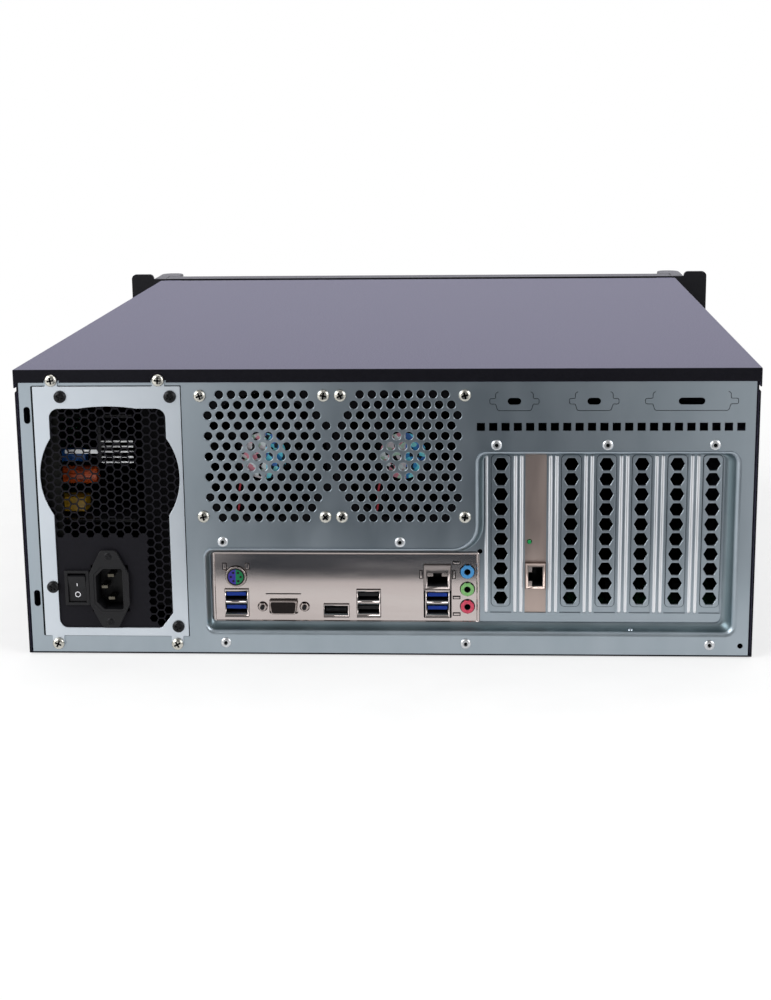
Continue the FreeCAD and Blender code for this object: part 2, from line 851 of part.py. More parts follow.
BOARD_LEFT = "(io_x + io_width / 2 + recess_margin)"
BOARD_RIGHT = f"({BOARD_LEFT} - board_width)"
deck_half = [(f"{BOARD_LEFT} + sheet", "sheet"), (f"{BOARD_LEFT} + sheet", "deck_z + sheet")]
deck_half += [(f"{BOARD_RIGHT} - sheet", "deck_z + sheet"), (f"{BOARD_RIGHT} - sheet", "sheet")]
deck_half += [(BOARD_RIGHT, "sheet"), (BOARD_RIGHT, "deck_z"), (BOARD_LEFT, "deck_z"), (BOARD_LEFT, "sheet")]
deck = doc.addObject("PartDesign::Body", "board_deck")
deck_sketch = body_sketch(deck, "deck_section", "XZ_Plane", "deck_start - body_depth / 2")
draw_polygon(deck_sketch, deck_half)
pad(deck, deck_sketch, "board_depth")
piece(deck, "board_deck")

piece(box(
    "main_board", (BOARD_RIGHT, BOARD_LEFT), deep("board_start", "board_start + board_depth"),
    ("board_z", BOARD_TOP)), "main_board")

standoffs = []
columns = [f"{BOARD_LEFT} - standoff_edge", f"{BOARD_LEFT} - board_width / 2"]
columns.append(f"{BOARD_RIGHT} + standoff_edge")
for column in columns:
    for depth in ("2 * standoff_edge", "board_depth / 2", "board_depth - standoff_edge"):
        start = (column, deep("0", f"board_start + {depth}")[0], "deck_z + sheet")
        height = "board_z - deck_z - sheet"
        standoffs.append(rod(f"standoff_{len(standoffs) + 1}", "z", "standoff_radius", start, height, HEX))
piece(group("board_standoffs", standoffs), "board_standoffs")

sockets = []
for number in (1, 3, 5):
    centre = f"(slot_x - slot_pitch * {number} - card_port_width / 2 - card_thickness / 2)"
    sockets.append(box(
        f"card_socket_{number}", middle(centre, "socket_width"),
        deep("socket_start", "socket_start + socket_length"), (BOARD_TOP, f"{BOARD_TOP} + socket_height")))
piece(group("card_sockets", sockets), "card_sockets")

modules = []
for number in range(int(S.memory_count)):
    centre = f"memory_x - memory_pitch * {number}"
    modules.append(box(
        f"memory_module_{number + 1}", middle(centre, "memory_thickness"),
        deep("memory_start", "memory_start + memory_length"), (BOARD_TOP, f"{BOARD_TOP} + memory_height")))
piece(group("memory_modules", modules), "memory_modules")

cooler_x = middle("cooler_x", "small_fan")
cooler_y = deep("cooler_depth - small_fan / 2", "cooler_depth + small_fan / 2")
COOLER_TOP = f"({BOARD_TOP} + cooler_height)"
cooler_parts = [box("cooler_base", cooler_x, cooler_y, (BOARD_TOP, f"{BOARD_TOP} + cooler_base"))]
for number in range(int(S.cooler_fins)):
    low = f"{cooler_x[0]} + (small_fan - fin_thickness) * {number} / (cooler_fins - 1)"
    cooler_parts.append(box(
        f"cooler_fin_{number + 1}", (low, f"{low} + fin_thickness"), cooler_y,
        (f"{BOARD_TOP} + cooler_base", COOLER_TOP)))
piece(joined("processor_heat_sink", cooler_parts), "processor_heat_sink")


# Fans: a square frame with a motor base on struts, and a rotor whose shaft runs in that base.


def fan_frame(label, kind, start, turn):
    body = doc.addObject("PartDesign::Body", label)
    ring = body_sketch(body, label + "_ring", "XY_Plane")
    half = f"{kind}_fan / 2"
    back = f"0 - {half}"
    draw_polygon(ring, [(half, half), (back, half), (back, back), (half, back)])
    draw_polygon(ring, flat_ring(f"{kind}_bore", int(S.bore_sides)))
    pad(body, ring, "fan_depth")
    strut = body_sketch(body, label + "_strut", "XY_Plane", "base_start")
    outer = f"{kind}_hub - 2 * hub_gap"
    inner = f"{outer} - strut_width"
    far = f"0 - {kind}_bore"
    draw_polygon(strut, [(outer, "0"), (inner, "0"), (inner, far), (outer, far)])
    polar(body, pad(body, strut, "base_thickness"), "fan_struts")
    base = body_sketch(body, label + "_base", "XY_Plane", "base_start")
    draw_polygon(base, flat_ring(f"({kind}_hub - hub_gap)", int(S.hub_sides)))
    draw_circle(base, "shaft_radius + shaft_clearance")
    pad(body, base, "base_thickness")
    body.Placement = FreeCAD.Placement(Vector(), turn)
    place(body, start)
    return piece(body, label)


def fan_rotor(label, kind, start, turn):
    body = doc.addObject("PartDesign::Body", label)
    hub_start = "(base_start + base_thickness + hub_gap)"
    hub = body_sketch(body, label + "_hub", "XY_Plane", hub_start)
    draw_polygon(hub, flat_ring(f"{kind}_hub", int(S.hub_sides)))
    pad(body, hub, "rotor_depth")
    shaft = body_sketch(body, label + "_shaft", "XY_Plane", "base_start + hub_gap")
    draw_circle(shaft, "shaft_radius")
    pad(body, shaft, "base_thickness + rotor_depth / 2")
    blade = body_sketch(body, label + "_blade", "YZ_Plane", f"{kind}_hub - blade_thickness")
    low = f"{hub_start} + blade_margin"
    high = f"{hub_start} + rotor_depth - blade_margin"
    reach = "blade_chord / 2"
    draw_polygon(blade, [
        (f"{reach}", high), (f"{reach} - blade_thickness", high),
        (f"0 - {reach}", low), (f"blade_thickness - {reach}", low)])
    blade_length = f"{kind}_tip - {kind}_hub + blade_thickness"
    polar(body, pad(body, blade, blade_length), "blade_count")
    body.Placement = FreeCAD.Placement(Vector(), turn)
    place(body, start)
    return piece(body, label)


def fan(name, kind, start, turn):
    fan_frame(name + "_frame", kind, start, turn)
    fan_rotor(name + "_rotor", kind, start, turn)


TO_FRONT = FreeCAD.Rotation(Vector(1, 0, 0), 90)
TO_LEFT = FreeCAD.Rotation(Vector(0, 1, 0), 90)
rear_fan_y = deep("0", "sheet")[0]
fan("left_rear_fan", "small", ("fan_x + fan_pitch / 2", rear_fan_y, FAN_Z), TO_FRONT)
fan("right_rear_fan", "small", ("fan_x - fan_pitch / 2", rear_fan_y, FAN_Z), TO_FRONT)
fan("processor_fan", "small", ("cooler_x", deep("0", "cooler_depth")[0], COOLER_TOP), FreeCAD.Rotation())
front_fan_y = deep("0", "body_depth + nose - fan_depth")[0]
fan("front_fan", "large", ("front_fan_x", front_fan_y, "front_fan_z"), TO_FRONT)
psu_inner = f"({PSU_X} - psu_width / 2 + psu_wall)"
fan("psu_fan", "large", (psu_inner, deep("0", "psu_fan_depth")[0], PSU_Z), TO_LEFT)

leads = []
for name, centre in (("left", "(fan_x + fan_pitch / 2)"), ("right", "(fan_x - fan_pitch / 2)")):
    lead_y = deep("0", "sheet + base_start - lead_radius")[0]
    lead_x = f"{centre} + small_hub - strut_width / 2"
    leads.append(rod(
        name + "_fan_lead", "z", "lead_radius", (lead_x, lead_y, f"{FAN_Z} - small_bore + 2 * strut_width"),
        "small_bore - 3 * strut_width", SMALL_FACETS))
    for side in (-1, 1):
        for level in (-1, 1):
            screw("y", (f"{centre} + {side} * fan_hole_pitch / 2", deep("0 - screw_head", "0")[0],
                        f"{FAN_Z} + {level} * fan_hole_pitch / 2"))
piece(group("fan_leads", leads), "fan_leads")


# Rear ports: each stands on the main board and looks out through the spring-metal shield.

usb_z = [f"({BOARD_TOP} + usb_low)", f"({BOARD_TOP} + usb_low + usb_rise)"]


def usb_stack(label, centre):
    """Two flat sockets, one over the other, each with its tongue."""
    body = box(label + "_shell", middle(centre, "usb_width"), deep("port_face", "port_face + port_depth"),
               (BOARD_TOP, f"{BOARD_TOP} + usb_stack"))
    depth = deep("port_face", "port_face + usb_mouth_depth")
    mouths = [box(f"{label}_mouth_{number}", middle(centre, "usb_mouth_width"), depth,
                  middle(up, "usb_mouth_height")) for number, up in enumerate(usb_z, 1)]
    tongue_y = deep("port_face + clearance", "port_face + usb_mouth_depth")
    tongues = [box(f"{label}_tongue_{number}", middle(centre, "usb_mouth_width - 4 * clearance"), tongue_y,
                   (up, f"{up} + usb_tongue")) for number, up in enumerate(usb_z, 1)]
    piece(joined(label, [cut(label + "_hollow", body, mouths)] + tongues), label)


usb_stack("left_usb_ports", "left_port_x")
usb_stack("middle_usb_ports", "middle_port_x")
usb_stack("right_usb_ports", "right_port_x")
STACK_TOP = f"({BOARD_TOP} + usb_stack)"

ps2_body = box("ps2_body", middle("left_port_x", "usb_width"), deep("port_body", "port_face + port_depth"),
               (STACK_TOP, "ps2_top"))
ps2_collar = rod("ps2_collar", "y", "ps2_radius", ("left_port_x", deep("port_face", "port_body")[0], "ps2_z"),
                 "port_body - port_face", FACETS)
piece(joined("keyboard_port", [ps2_body, ps2_collar]), "keyboard_port")

lan_body = box("lan_body", middle("right_port_x", "lan_width"), deep("port_face", "port_face + port_depth"),
               (STACK_TOP, "lan_top"))
lan_mouth = box("lan_mouth", middle("right_port_x", "lan_mouth_width"),
                deep("port_face", "port_face + lan_mouth_depth"), middle("lan_z", "lan_mouth_height"))
piece(cut("lan_port", lan_body, [lan_mouth]), "lan_port")

vga_top = "vga_z + vga_height / 2 + 2 * clearance"
vga_body = box("vga_body", middle("vga_x", "vga_flange"), deep("port_body", "port_face + port_depth"),
               (BOARD_TOP, vga_top))
slope = S.vga_height / 6
vga_shell = extruded(
    "vga_shell", "y", [rounded([
        (S.vga_x - S.vga_width / 2 + slope, S.vga_z - S.vga_height / 2, 0.0),
        (S.vga_x + S.vga_width / 2 - slope, S.vga_z - S.vga_height / 2, 0.0),
        (S.vga_x + S.vga_width / 2, S.vga_z + S.vga_height / 2, 0.0),
        (S.vga_x - S.vga_width / 2, S.vga_z + S.vga_height / 2, 0.0)])],
    deep("port_face - vga_stand", "port_body")[0], "port_body - port_face + vga_stand")
vga_jacks = [rod(
    f"vga_jack_{number}", "y", "vga_jack_radius",
    (f"vga_x + {side} * vga_jack_pitch / 2", deep("port_face", "port_body")[0], "vga_z"),
    "port_body - port_face", HEX) for number, side in enumerate((-1, 1), 1)]
piece(joined("vga_port", [vga_body, vga_shell] + vga_jacks), "vga_port")

hdmi_body = box("hdmi_body", middle("hdmi_x", "hdmi_width"), deep("port_face", "port_face + port_depth"),
                (BOARD_TOP, "hdmi_z + hdmi_height / 2"))
hdmi_mouth = box("hdmi_mouth", middle("hdmi_x", "hdmi_width - 4 * clearance"),
                 deep("port_face", "port_face + usb_mouth_depth"),
                 middle("hdmi_z", "hdmi_height - 4 * clearance"))
hdmi_tongue = box("hdmi_tongue", middle("hdmi_x", "hdmi_width - 12 * clearance"),
                  deep("port_face + clearance", "port_face + usb_mouth_depth"),
                  middle("hdmi_z", "usb_tongue"))
piece(joined("hdmi_port", [cut("hdmi_shell", hdmi_body, [hdmi_mouth]), hdmi_tongue]), "hdmi_port")

audio_z = [f"(audio_z + audio_pitch * {number})" for number in range(3)]
audio_body = box("audio_body", middle("audio_x", "audio_width"), deep("port_body", "port_face + port_depth"),
                 (BOARD_TOP, f"{audio_z[2]} + audio_width / 2"))
audio_length = "port_body - port_face"
audio_collars = [rod(f"audio_collar_{number}", "y", "audio_radius",
                     ("audio_x", deep("port_face", "port_body")[0], up), audio_length, SMALL_FACETS)
                 for number, up in enumerate(audio_z, 1)]
audio_bores = [rod(f"audio_bore_{number}", "y", "audio_bore",
                   ("audio_x", deep("0", "port_face + lan_mouth_depth")[0], up), "lan_mouth_depth", HEX)
               for number, up in enumerate(audio_z, 1)]
piece(cut("audio_jacks", joined("audio_solid", [audio_body] + audio_collars), audio_bores), "audio_jacks")

# Port shield: thin tinned sheet in the recess floor's opening, cut to clear each port.

fit = S.clearance
board_top = S.board_z + S.board_thickness
stack_top = board_top + S.usb_stack


def port_hole(centre, width, bottom, top):
    return rectangle(centre - width / 2 - fit, centre + width / 2 + fit, bottom - fit, top + fit)


shield_loops = [rectangle(io_right + fit, io_left - fit, S.io_bottom + fit, S.io_bottom + S.io_height - fit)]
shield_loops += [port_hole(S.left_port_x, S.usb_width, board_top, stack_top)]
shield_loops += [polygon(S.left_port_x, S.ps2_z, S.ps2_radius + fit, FACETS)]
shield_loops += [port_hole(S.middle_port_x, S.usb_width, board_top, stack_top)]
lan_sides = (S.right_port_x - S.lan_width / 2 - fit, S.right_port_x + S.lan_width / 2 + fit)
shield_loops += [rectangle(*lan_sides, board_top - fit, S.lan_top + fit)]
shield_loops += [port_hole(S.vga_x, S.vga_width, S.vga_z - S.vga_height / 2, S.vga_z + S.vga_height / 2)]
for side in (-1, 1):
    jack = S.vga_x + side * S.vga_jack_pitch / 2
    shield_loops.append(polygon(jack, S.vga_z, S.vga_jack_radius + fit, HEX))
shield_loops += [port_hole(S.hdmi_x, S.hdmi_width, board_top, S.hdmi_z + S.hdmi_height / 2)]
for number in range(3):
    up = S.audio_z + S.audio_pitch * number
    shield_loops.append(polygon(S.audio_x, up, S.audio_radius + fit, SMALL_FACETS))
shield_back = f"{FLOOR} - shield_sheet / 2"
piece(extruded("port_shield", "y", shield_loops, deep("0", shield_back)[0], "shield_sheet"), "port_shield")


# Power supply: plate on the rear panel, honeycomb end plate, housing, and the parts seen through it.

psu_left = f"({PSU_X} + psu_width / 2)"
psu_right = f"({PSU_X} - psu_width / 2)"
plate_y = deep("0 - sheet", "0")
plate_parts = [box("psu_plate_sheet", (psu_right, psu_left), plate_y, (PSU_LOW, PSU_HIGH))]
screw_places = []
for level, edge in (("top", PSU_HIGH), ("low", PSU_LOW)):
    for side in ("left", "right"):
        across, up = f"{PSU_X} + plate_{level}_{side}", PLATE_Z[level]
        screw_places.append((across, up))
        neck = (edge, up) if level == "top" else (up, edge)
        name = f"plate_tab_{level}_{side}"
        plate_parts.append(rod(name, "y", "plate_tab_radius", (across, plate_y[0], up), "sheet", FACETS))
        plate_parts.append(box(name + "_neck", middle(across, "2 * plate_tab_radius"), plate_y, neck))
window_left, window_right = psu_x + window_half, psu_x - window_half
window_low, window_high = psu_bottom + S.window_foot, psu_top - S.window_crest
window = extruded(
    "psu_plate_window", "y", [rounded([
        (window_left, window_low, 0.0),
        (window_left, window_high, S.window_radius),
        (window_right, window_high, S.window_radius),
        (window_right, window_low + S.window_chamfer_rise, 0.0),
        (window_right + S.window_chamfer, window_low, 0.0)])],
    plate_y[0], "sheet")
bulge = rod("psu_plate_bulge", "y", "psu_width / 2 - bulge_side",
            (PSU_X, plate_y[0], f"{PSU_Z} + bulge_rise"), "sheet", LARGE_FACETS)
plate_solid = joined("psu_plate_solid", plate_parts)
piece(cut("psu_plate", plate_solid, [joined("psu_plate_opening", [window, bulge])]), "psu_plate")

screw_places.append((f"{psu_left} - psu_screw_left", f"{PSU_HIGH} - psu_screw_edge"))
screw_places.append((f"{psu_right} + psu_screw_right", f"{PSU_HIGH} - psu_screw_edge"))
screw_places.append((f"{psu_left} - psu_screw_right", f"{PSU_LOW} + psu_screw_low"))
screw_places.append((f"{psu_right} + psu_screw_right", f"{PSU_LOW} + psu_screw_edge"))
for across, up in screw_places:
    screw("y", (across, deep("0 - sheet - screw_head", "0 - sheet")[0], up))
piece(group("case_screws", screws), "case_screws")


def honeycomb():
    """Flat-topped cells inside the plate's window, clear of the switch and inlet."""
    column_pitch = S.comb_pitch * math.sqrt(3) / 2
    columns = math.ceil(bulge_radius / column_pitch)
    rows = math.ceil((psu_top - psu_bottom) / 2 / S.comb_pitch)
    cells = []
    for column in range(-columns, columns + 1):
        for row in range(-rows, rows + 1):
            across = column * column_pitch
            up = psu_z + (row + column % 2 / 2) * S.comb_pitch
            in_circle = math.hypot(across, up - psu_z - S.bulge_rise) < bulge_radius - S.comb_radius
            in_window = abs(across) < window_half - S.comb_radius
            in_window = in_window and window_low + S.comb_radius < up < window_high - S.comb_radius
            beside_inlet = across < -S.comb_strip - S.comb_radius
            over_inlet = up > psu_bottom + S.comb_floor + S.comb_radius
            if (in_circle or in_window) and (over_inlet or beside_inlet):
                cells.append(polygon(psu_x + across, up, S.comb_radius, HEX))
    return cells


inlet_half = S.inlet_width / 2 - S.sheet + S.clearance
inlet_reach = S.inlet_height / 2 - S.sheet + S.clearance
switch_half = S.switch_width / 2 - S.sheet + S.clearance
switch_reach = S.switch_height / 2 - S.sheet + S.clearance
end_loops = [rectangle(psu_x - S.psu_width / 2, psu_x + S.psu_width / 2, psu_bottom, psu_top)]
end_loops.append(rectangle(inlet_x - inlet_half, inlet_x + inlet_half,
                           inlet_z - inlet_reach, inlet_z + inlet_reach))
end_loops.append(rectangle(switch_x - switch_half, switch_x + switch_half,
                           switch_z - switch_reach, switch_z + switch_reach))
end_y = deep("0", "psu_wall")[0]
piece(extruded("psu_end_plate", "y", end_loops + honeycomb(), end_y, "psu_wall"), "psu_end_plate")

housing = box("psu_block", (psu_right, psu_left), deep("psu_wall", "psu_depth"), (PSU_LOW, PSU_HIGH))
hollow = box(
    "psu_hollow", (f"{psu_right} + psu_wall", f"{psu_left} - psu_wall"),
    deep("psu_wall", "psu_depth - psu_wall"), (f"{PSU_LOW} + psu_wall", f"{PSU_HIGH} - psu_wall"))
fan_opening = rod("psu_fan_opening", "x", "large_bore", (psu_right, deep("0", "psu_fan_depth")[0], PSU_Z),
                  "psu_wall", LARGE_FACETS)
piece(cut("psu_housing", cut("psu_box", housing, [hollow]), [fan_opening]), "psu_housing")

# The power supply's parts stand on its upright board: transformer, coil, capacitor and heat sinks.
board_face = f"({psu_left} - psu_wall - psu_board_thickness)"
piece(box(
    "psu_board", (board_face, f"{board_face} + psu_board_thickness"),
    deep("psu_wall + psu_board_gap", "psu_depth - psu_wall - psu_board_gap"),
    (f"{PSU_LOW} + psu_wall + psu_board_gap", f"{PSU_HIGH} - psu_wall - psu_board_gap")), "psu_board")
piece(box(
    "psu_transformer", (f"{board_face} - transformer_reach", board_face),
    deep("psu_part_depth - transformer_size / 2", "psu_part_depth + transformer_size"),
    middle(f"{PSU_LOW} + transformer_rise", "transformer_size")), "psu_transformer")
part_y = deep("0", "psu_part_depth")[0]
coil_start = (f"{board_face} - coil_length", part_y, f"{PSU_LOW} + coil_rise")
coil = rod("coil_ring", "x", "coil_radius", coil_start, "coil_length", FACETS)
coil_hole = rod("coil_hole", "x", "coil_bore", coil_start, "coil_length", SMALL_FACETS)
piece(cut("psu_coil", coil, [coil_hole]), "psu_coil")
piece(rod(
    "psu_capacitor", "x", "capacitor_radius",
    (f"{board_face} - capacitor_length", part_y, f"{PSU_LOW} + capacitor_rise"), "capacitor_length", FACETS),
    "psu_capacitor")
sink_y = deep("sink_start", "sink_start + sink_length")
sink_x = (f"{board_face} + sink_gap - psu_width", board_face)
low_sink = box("low_heat_sink", sink_x, sink_y, middle(f"{PSU_LOW} + sink_low_rise", "sink_thickness"))
sink_top = f"{PSU_LOW} + sink_high_rise"
sink_parts = [box("high_sink_plate", sink_x, sink_y, middle(sink_top, "sink_thickness"))]
spine_x = (f"{board_face} - sink_root", f"{board_face} - sink_root + sink_thickness")
sink_parts.append(box("high_sink_spine", spine_x, sink_y, (f"{PSU_LOW} + sink_fin_rise", sink_top)))
for number in range(int(S.sink_fins)):
    fin_low = f"{PSU_LOW} + sink_fin_rise + sink_fin_pitch * {number}"
    sink_parts.append(box(f"high_sink_fin_{number + 1}", (sink_x[0], spine_x[0]), sink_y,
                          (fin_low, f"{fin_low} + sink_fin_thickness")))
piece(group("psu_heat_sinks", [low_sink, joined("high_heat_sink", sink_parts)]), "psu_heat_sinks")

inlet_front = deep("0 - inlet_stand", "0")
inlet_core = box("inlet_core", middle(INLET_X, "inlet_width"), inlet_front, middle(INLET_Z, "inlet_height"))
inlet_ears = box("inlet_ears", middle(INLET_X, "inlet_flange_width"), inlet_front,
                 middle(INLET_Z, "inlet_flange"))
inlet_back = box("inlet_back", middle(INLET_X, "inlet_width - 2 * sheet"), deep("0", "inlet_depth"),
                 middle(INLET_Z, "inlet_height - 2 * sheet"))
mouth_right, mouth_left = inlet_x - S.inlet_mouth_width / 2, inlet_x + S.inlet_mouth_width / 2
mouth_low, mouth_high = inlet_z - S.inlet_mouth_height / 2, inlet_z + S.inlet_mouth_height / 2
inlet_mouth = extruded(
    "inlet_mouth", "y", [rounded([
        (mouth_right, mouth_low, 0.0),
        (mouth_left - S.inlet_corner, mouth_low, 0.0),
        (mouth_left, mouth_low + S.inlet_corner, 0.0),
        (mouth_left, mouth_high - S.inlet_corner, 0.0),
        (mouth_left - S.inlet_corner, mouth_high, 0.0),
        (mouth_right, mouth_high, 0.0)])],
    deep("0", "inlet_mouth_depth")[0], "inlet_mouth_depth + inlet_stand")
inlet_solid = joined("inlet_solid", [inlet_core, inlet_ears, inlet_back])
piece(cut("mains_inlet", inlet_solid, [inlet_mouth]), "mains_inlet")

pins = []
pin_places = [(f"{INLET_X} + earth_offset", INLET_Z)]
pin_places.append((INLET_X, f"{INLET_Z} + pin_spread"))
pin_places.append((INLET_X, f"{INLET_Z} - pin_spread"))
for number, (across, up) in enumerate(pin_places, 1):
    pins.append(box(f"inlet_pin_{number}", middle(across, "pin_height"), deep("pin_tip", "inlet_mouth_depth"),
                    middle(up, "pin_width")))
piece(group("inlet_pins", pins), "inlet_pins")

switch_front = box("switch_flange", middle(SWITCH_X, "switch_width"), deep("0 - switch_stand", "0"),
                   middle(SWITCH_Z, "switch_height"))
switch_back = box("switch_body", middle(SWITCH_X, "switch_width - 2 * sheet"), deep("0", "switch_depth"),
                  middle(SWITCH_Z, "switch_height - 2 * sheet"))
switch_hollow = box("switch_hollow", middle(SWITCH_X, "rocker_width + 2 * clearance"),
                    deep("0 - switch_stand", "switch_depth - sheet"),
                    middle(SWITCH_Z, "rocker_height + 6 * clearance"))
axle_start = (middle(SWITCH_X, "switch_width")[0], deep("0", "rocker_pivot")[0], SWITCH_Z)
axle_hole = rod("switch_axle_hole", "x", "axle_radius + shaft_clearance", axle_start, "switch_width")
switch_open = cut("switch_open", joined("switch_solid", [switch_front, switch_back]), [switch_hollow])
piece(cut("switch_bezel", switch_open, [axle_hole]), "switch_bezel")

# The rocker turns on a round axle and rests with its lower end pressed in.
rocker = doc.addObject("PartDesign::Body", "switch_rocker")
rocker_sketch = body_sketch(rocker, "rocker_section", "YZ_Plane", "0 - rocker_width / 2")
end, crown = "rocker_height / 2", "rocker_front"
wing = f"{crown} + {end} * {math.tan(math.radians(S.rocker_tilt))}"
draw_polygon(rocker_sketch, [
    (crown, "0"), (wing, end), (f"0 - {crown}", end), (f"0 - {crown} - sheet", "0"),
    (f"0 - {crown}", f"0 - {end}"), (wing, f"0 - {end}")])
pad(rocker, rocker_sketch, "rocker_width")
axle_sketch = body_sketch(rocker, "rocker_axle", "YZ_Plane", "0 - rocker_width / 2 - axle_reach")
draw_circle(axle_sketch, "axle_radius")
pad(rocker, axle_sketch, "rocker_width + 2 * axle_reach")
rocker.Placement = FreeCAD.Placement(Vector(), FreeCAD.Rotation(AXES["x"], -S.rocker_tilt))
place(rocker, (SWITCH_X, deep("0", "rocker_pivot")[0], SWITCH_Z))
piece(rocker, "switch_rocker")


# Front panel: a thick plate whose ends are the rack ears, with openings for the bays and the fan.

FRONT = "(body_depth + nose)"
front_y = deep("0", f"{FRONT} + front_plate")[0]
ear_outer = S.rack_width / 2
ear_inner = ear_outer - S.ear_width
ear_round = S.ear_radius
shoulder = min(ear_round, ear_top - front_top - fit)
front_loops = [rounded([
    (-ear_outer, 0.0, ear_round), (ear_outer, 0.0, ear_round), (ear_outer, ear_top, ear_round),
    (ear_inner, ear_top, shoulder), (ear_inner, front_top, 0.0),
    (-ear_inner, front_top, 0.0), (-ear_inner, ear_top, shoulder), (-ear_outer, ear_top, ear_round)])]
bay_tall = S.bay_pitch * (S.bay_count - 1) + S.bay_height
front_loops.append(rectangle(S.bay_x - S.bay_width / 2, S.bay_x + S.bay_width / 2,
                             S.bay_bottom, S.bay_bottom + bay_tall))
for side in (-1, 1):
    for level in (-1, 1):
        across = side * S.rack_hole_width / 2
        up = ear_top / 2 + level * S.rack_hole_height / 2
        front_loops.append(oblong(across, up, S.rack_hole_length, 2 * S.rack_hole_radius))
front_flat = extruded("front_plate_flat", "y", front_loops, front_y, "front_plate")
front_hole = rod("front_fan_opening", "y", "large_bore", ("front_fan_x", front_y, "front_fan_z"),
                 "front_plate", LARGE_FACETS)
front_rail = box(
    "front_top_rail", middle("0", f"2 * ({UPPER} - rim - clearance)"), deep(f"{FRONT} - front_rail", FRONT),
    (f"{FRONT_TOP} - front_rail_drop - sheet", f"{FRONT_TOP} - front_rail_drop"))
piece(joined("front_panel", [cut("front_plate_open", front_flat, [front_hole]), front_rail]), "front_panel")


# Front bezel: a hollow moulding over the panel, with intake slots, bay openings and control holes.

FACE = f"({FRONT} + front_plate + bezel_depth)"
bezel_x = middle("0", "bezel_width")
bezel_block = box("bezel_block", bezel_x, deep(f"{FRONT} + front_plate", FACE), ("bezel_bottom", FRONT_TOP))
bezel_hollow = box(
    "bezel_hollow", (f"{bezel_x[0]} + bezel_wall", f"{bezel_x[1]} - bezel_wall"),
    deep(f"{FRONT} + front_plate", f"{FACE} - bezel_face"),
    ("bezel_bottom + bezel_wall", f"{FRONT_TOP} - bezel_wall"))
face_y = deep(f"{FACE} - bezel_face", FACE)
bezel_tools = []
for number in range(int(S.grille_slots)):
    up = f"front_fan_z + grille_pitch * ({number} - (grille_slots - 1) / 2)"
    bezel_tools.append(box(
        f"intake_slot_{number + 1}", middle("front_fan_x", "grille_width"), face_y,
        middle(up, "grille_slot_height")))
BAY_TALL = "(bay_pitch * (bay_count - 1) + bay_height)"
bezel_tools.append(box("bay_opening", middle("bay_x", "bay_width"), face_y,
                       ("bay_bottom", f"bay_bottom + {BAY_TALL}")))
for name in ("power", "reset"):
    bezel_tools.append(rod(f"{name}_button_hole", "y", f"{name}_radius + clearance",
                           ("control_x", face_y[0], f"{FRONT_TOP} - {name}_drop"), "bezel_face", FACETS))
front_usb_z = [f"({FRONT_TOP} - front_usb_drop)", f"({FRONT_TOP} - front_usb_drop - front_usb_pitch)"]
for number, up in enumerate(front_usb_z, 1):
    bezel_tools.append(box(
        f"front_usb_hole_{number}", middle("control_x", "front_usb_width + 2 * clearance"), face_y,
        middle(up, "front_usb_height + 2 * clearance")))
lamp_x = ["control_x - lamp_spread / 2", "control_x + lamp_spread / 2"]
for number, across in enumerate(lamp_x, 1):
    start = (across, face_y[0], f"{FRONT_TOP} - lamp_drop")
    bezel_tools.append(rod(f"lamp_hole_{number}", "y", "lamp_radius + clearance", start, "bezel_face",
                           SMALL_FACETS))
piece(cut("front_bezel", cut("bezel_shell", bezel_block, [bezel_hollow]), bezel_tools), "front_bezel")

bay_covers = []
for number in range(int(S.bay_count)):
    low = f"bay_bottom + bay_pitch * {number}"
    bay_covers.append(box(
        f"bay_cover_{number + 1}", middle("bay_x", "bay_width - 2 * clearance"),
        deep(f"{FACE} + bay_cover_stand - bay_cover", f"{FACE} + bay_cover_stand"),
        (f"{low} + clearance", f"{low} + bay_height - clearance")))
piece(group("bay_covers", bay_covers), "bay_covers")


# Handles: an upright profile beside the bezel, with a finger window between its two arms.

panel_front = -S.body_depth / 2 - S.nose - S.front_plate
face_front = panel_front - S.bezel_depth
for name, side in (("left", 1), ("right", -1)):
    inner = S.bezel_width / 2 + fit
    outer = inner + S.handle_flank
    reach = face_front - S.handle_reach
    grip = outer - S.handle_width
    corners = [
        (inner, panel_front, 0.0), (outer, panel_front, 0.0), (outer, reach, S.handle_outer_radius),
        (grip, reach, S.handle_inner_radius), (grip, face_front - fit, 0.0), (inner, face_front - fit, 0.0)]
    loop = rounded([(side * across, along, radius) for across, along, radius in corners])
    solid = extruded(f"{name}_handle_profile", "z", [loop], "bezel_bottom", f"{FRONT_TOP} - bezel_bottom")
    span = ("bezel_width / 2 - handle_width", "bezel_width / 2 + handle_width")
    if side < 0:
        span = (f"0 - ({span[1]})", f"0 - ({span[0]})")
    gap = box(
        f"{name}_handle_window", span,
        deep(f"{FACE} + clearance", f"{FACE} + handle_reach - handle_grip"),
        ("bezel_bottom + handle_arm", f"{FRONT_TOP} - handle_arm"))
    piece(cut(f"{name}_handle", solid, [gap]), f"{name}_handle")


# Front controls: a small board behind the bezel carries the lamps and sockets; two buttons press on it.

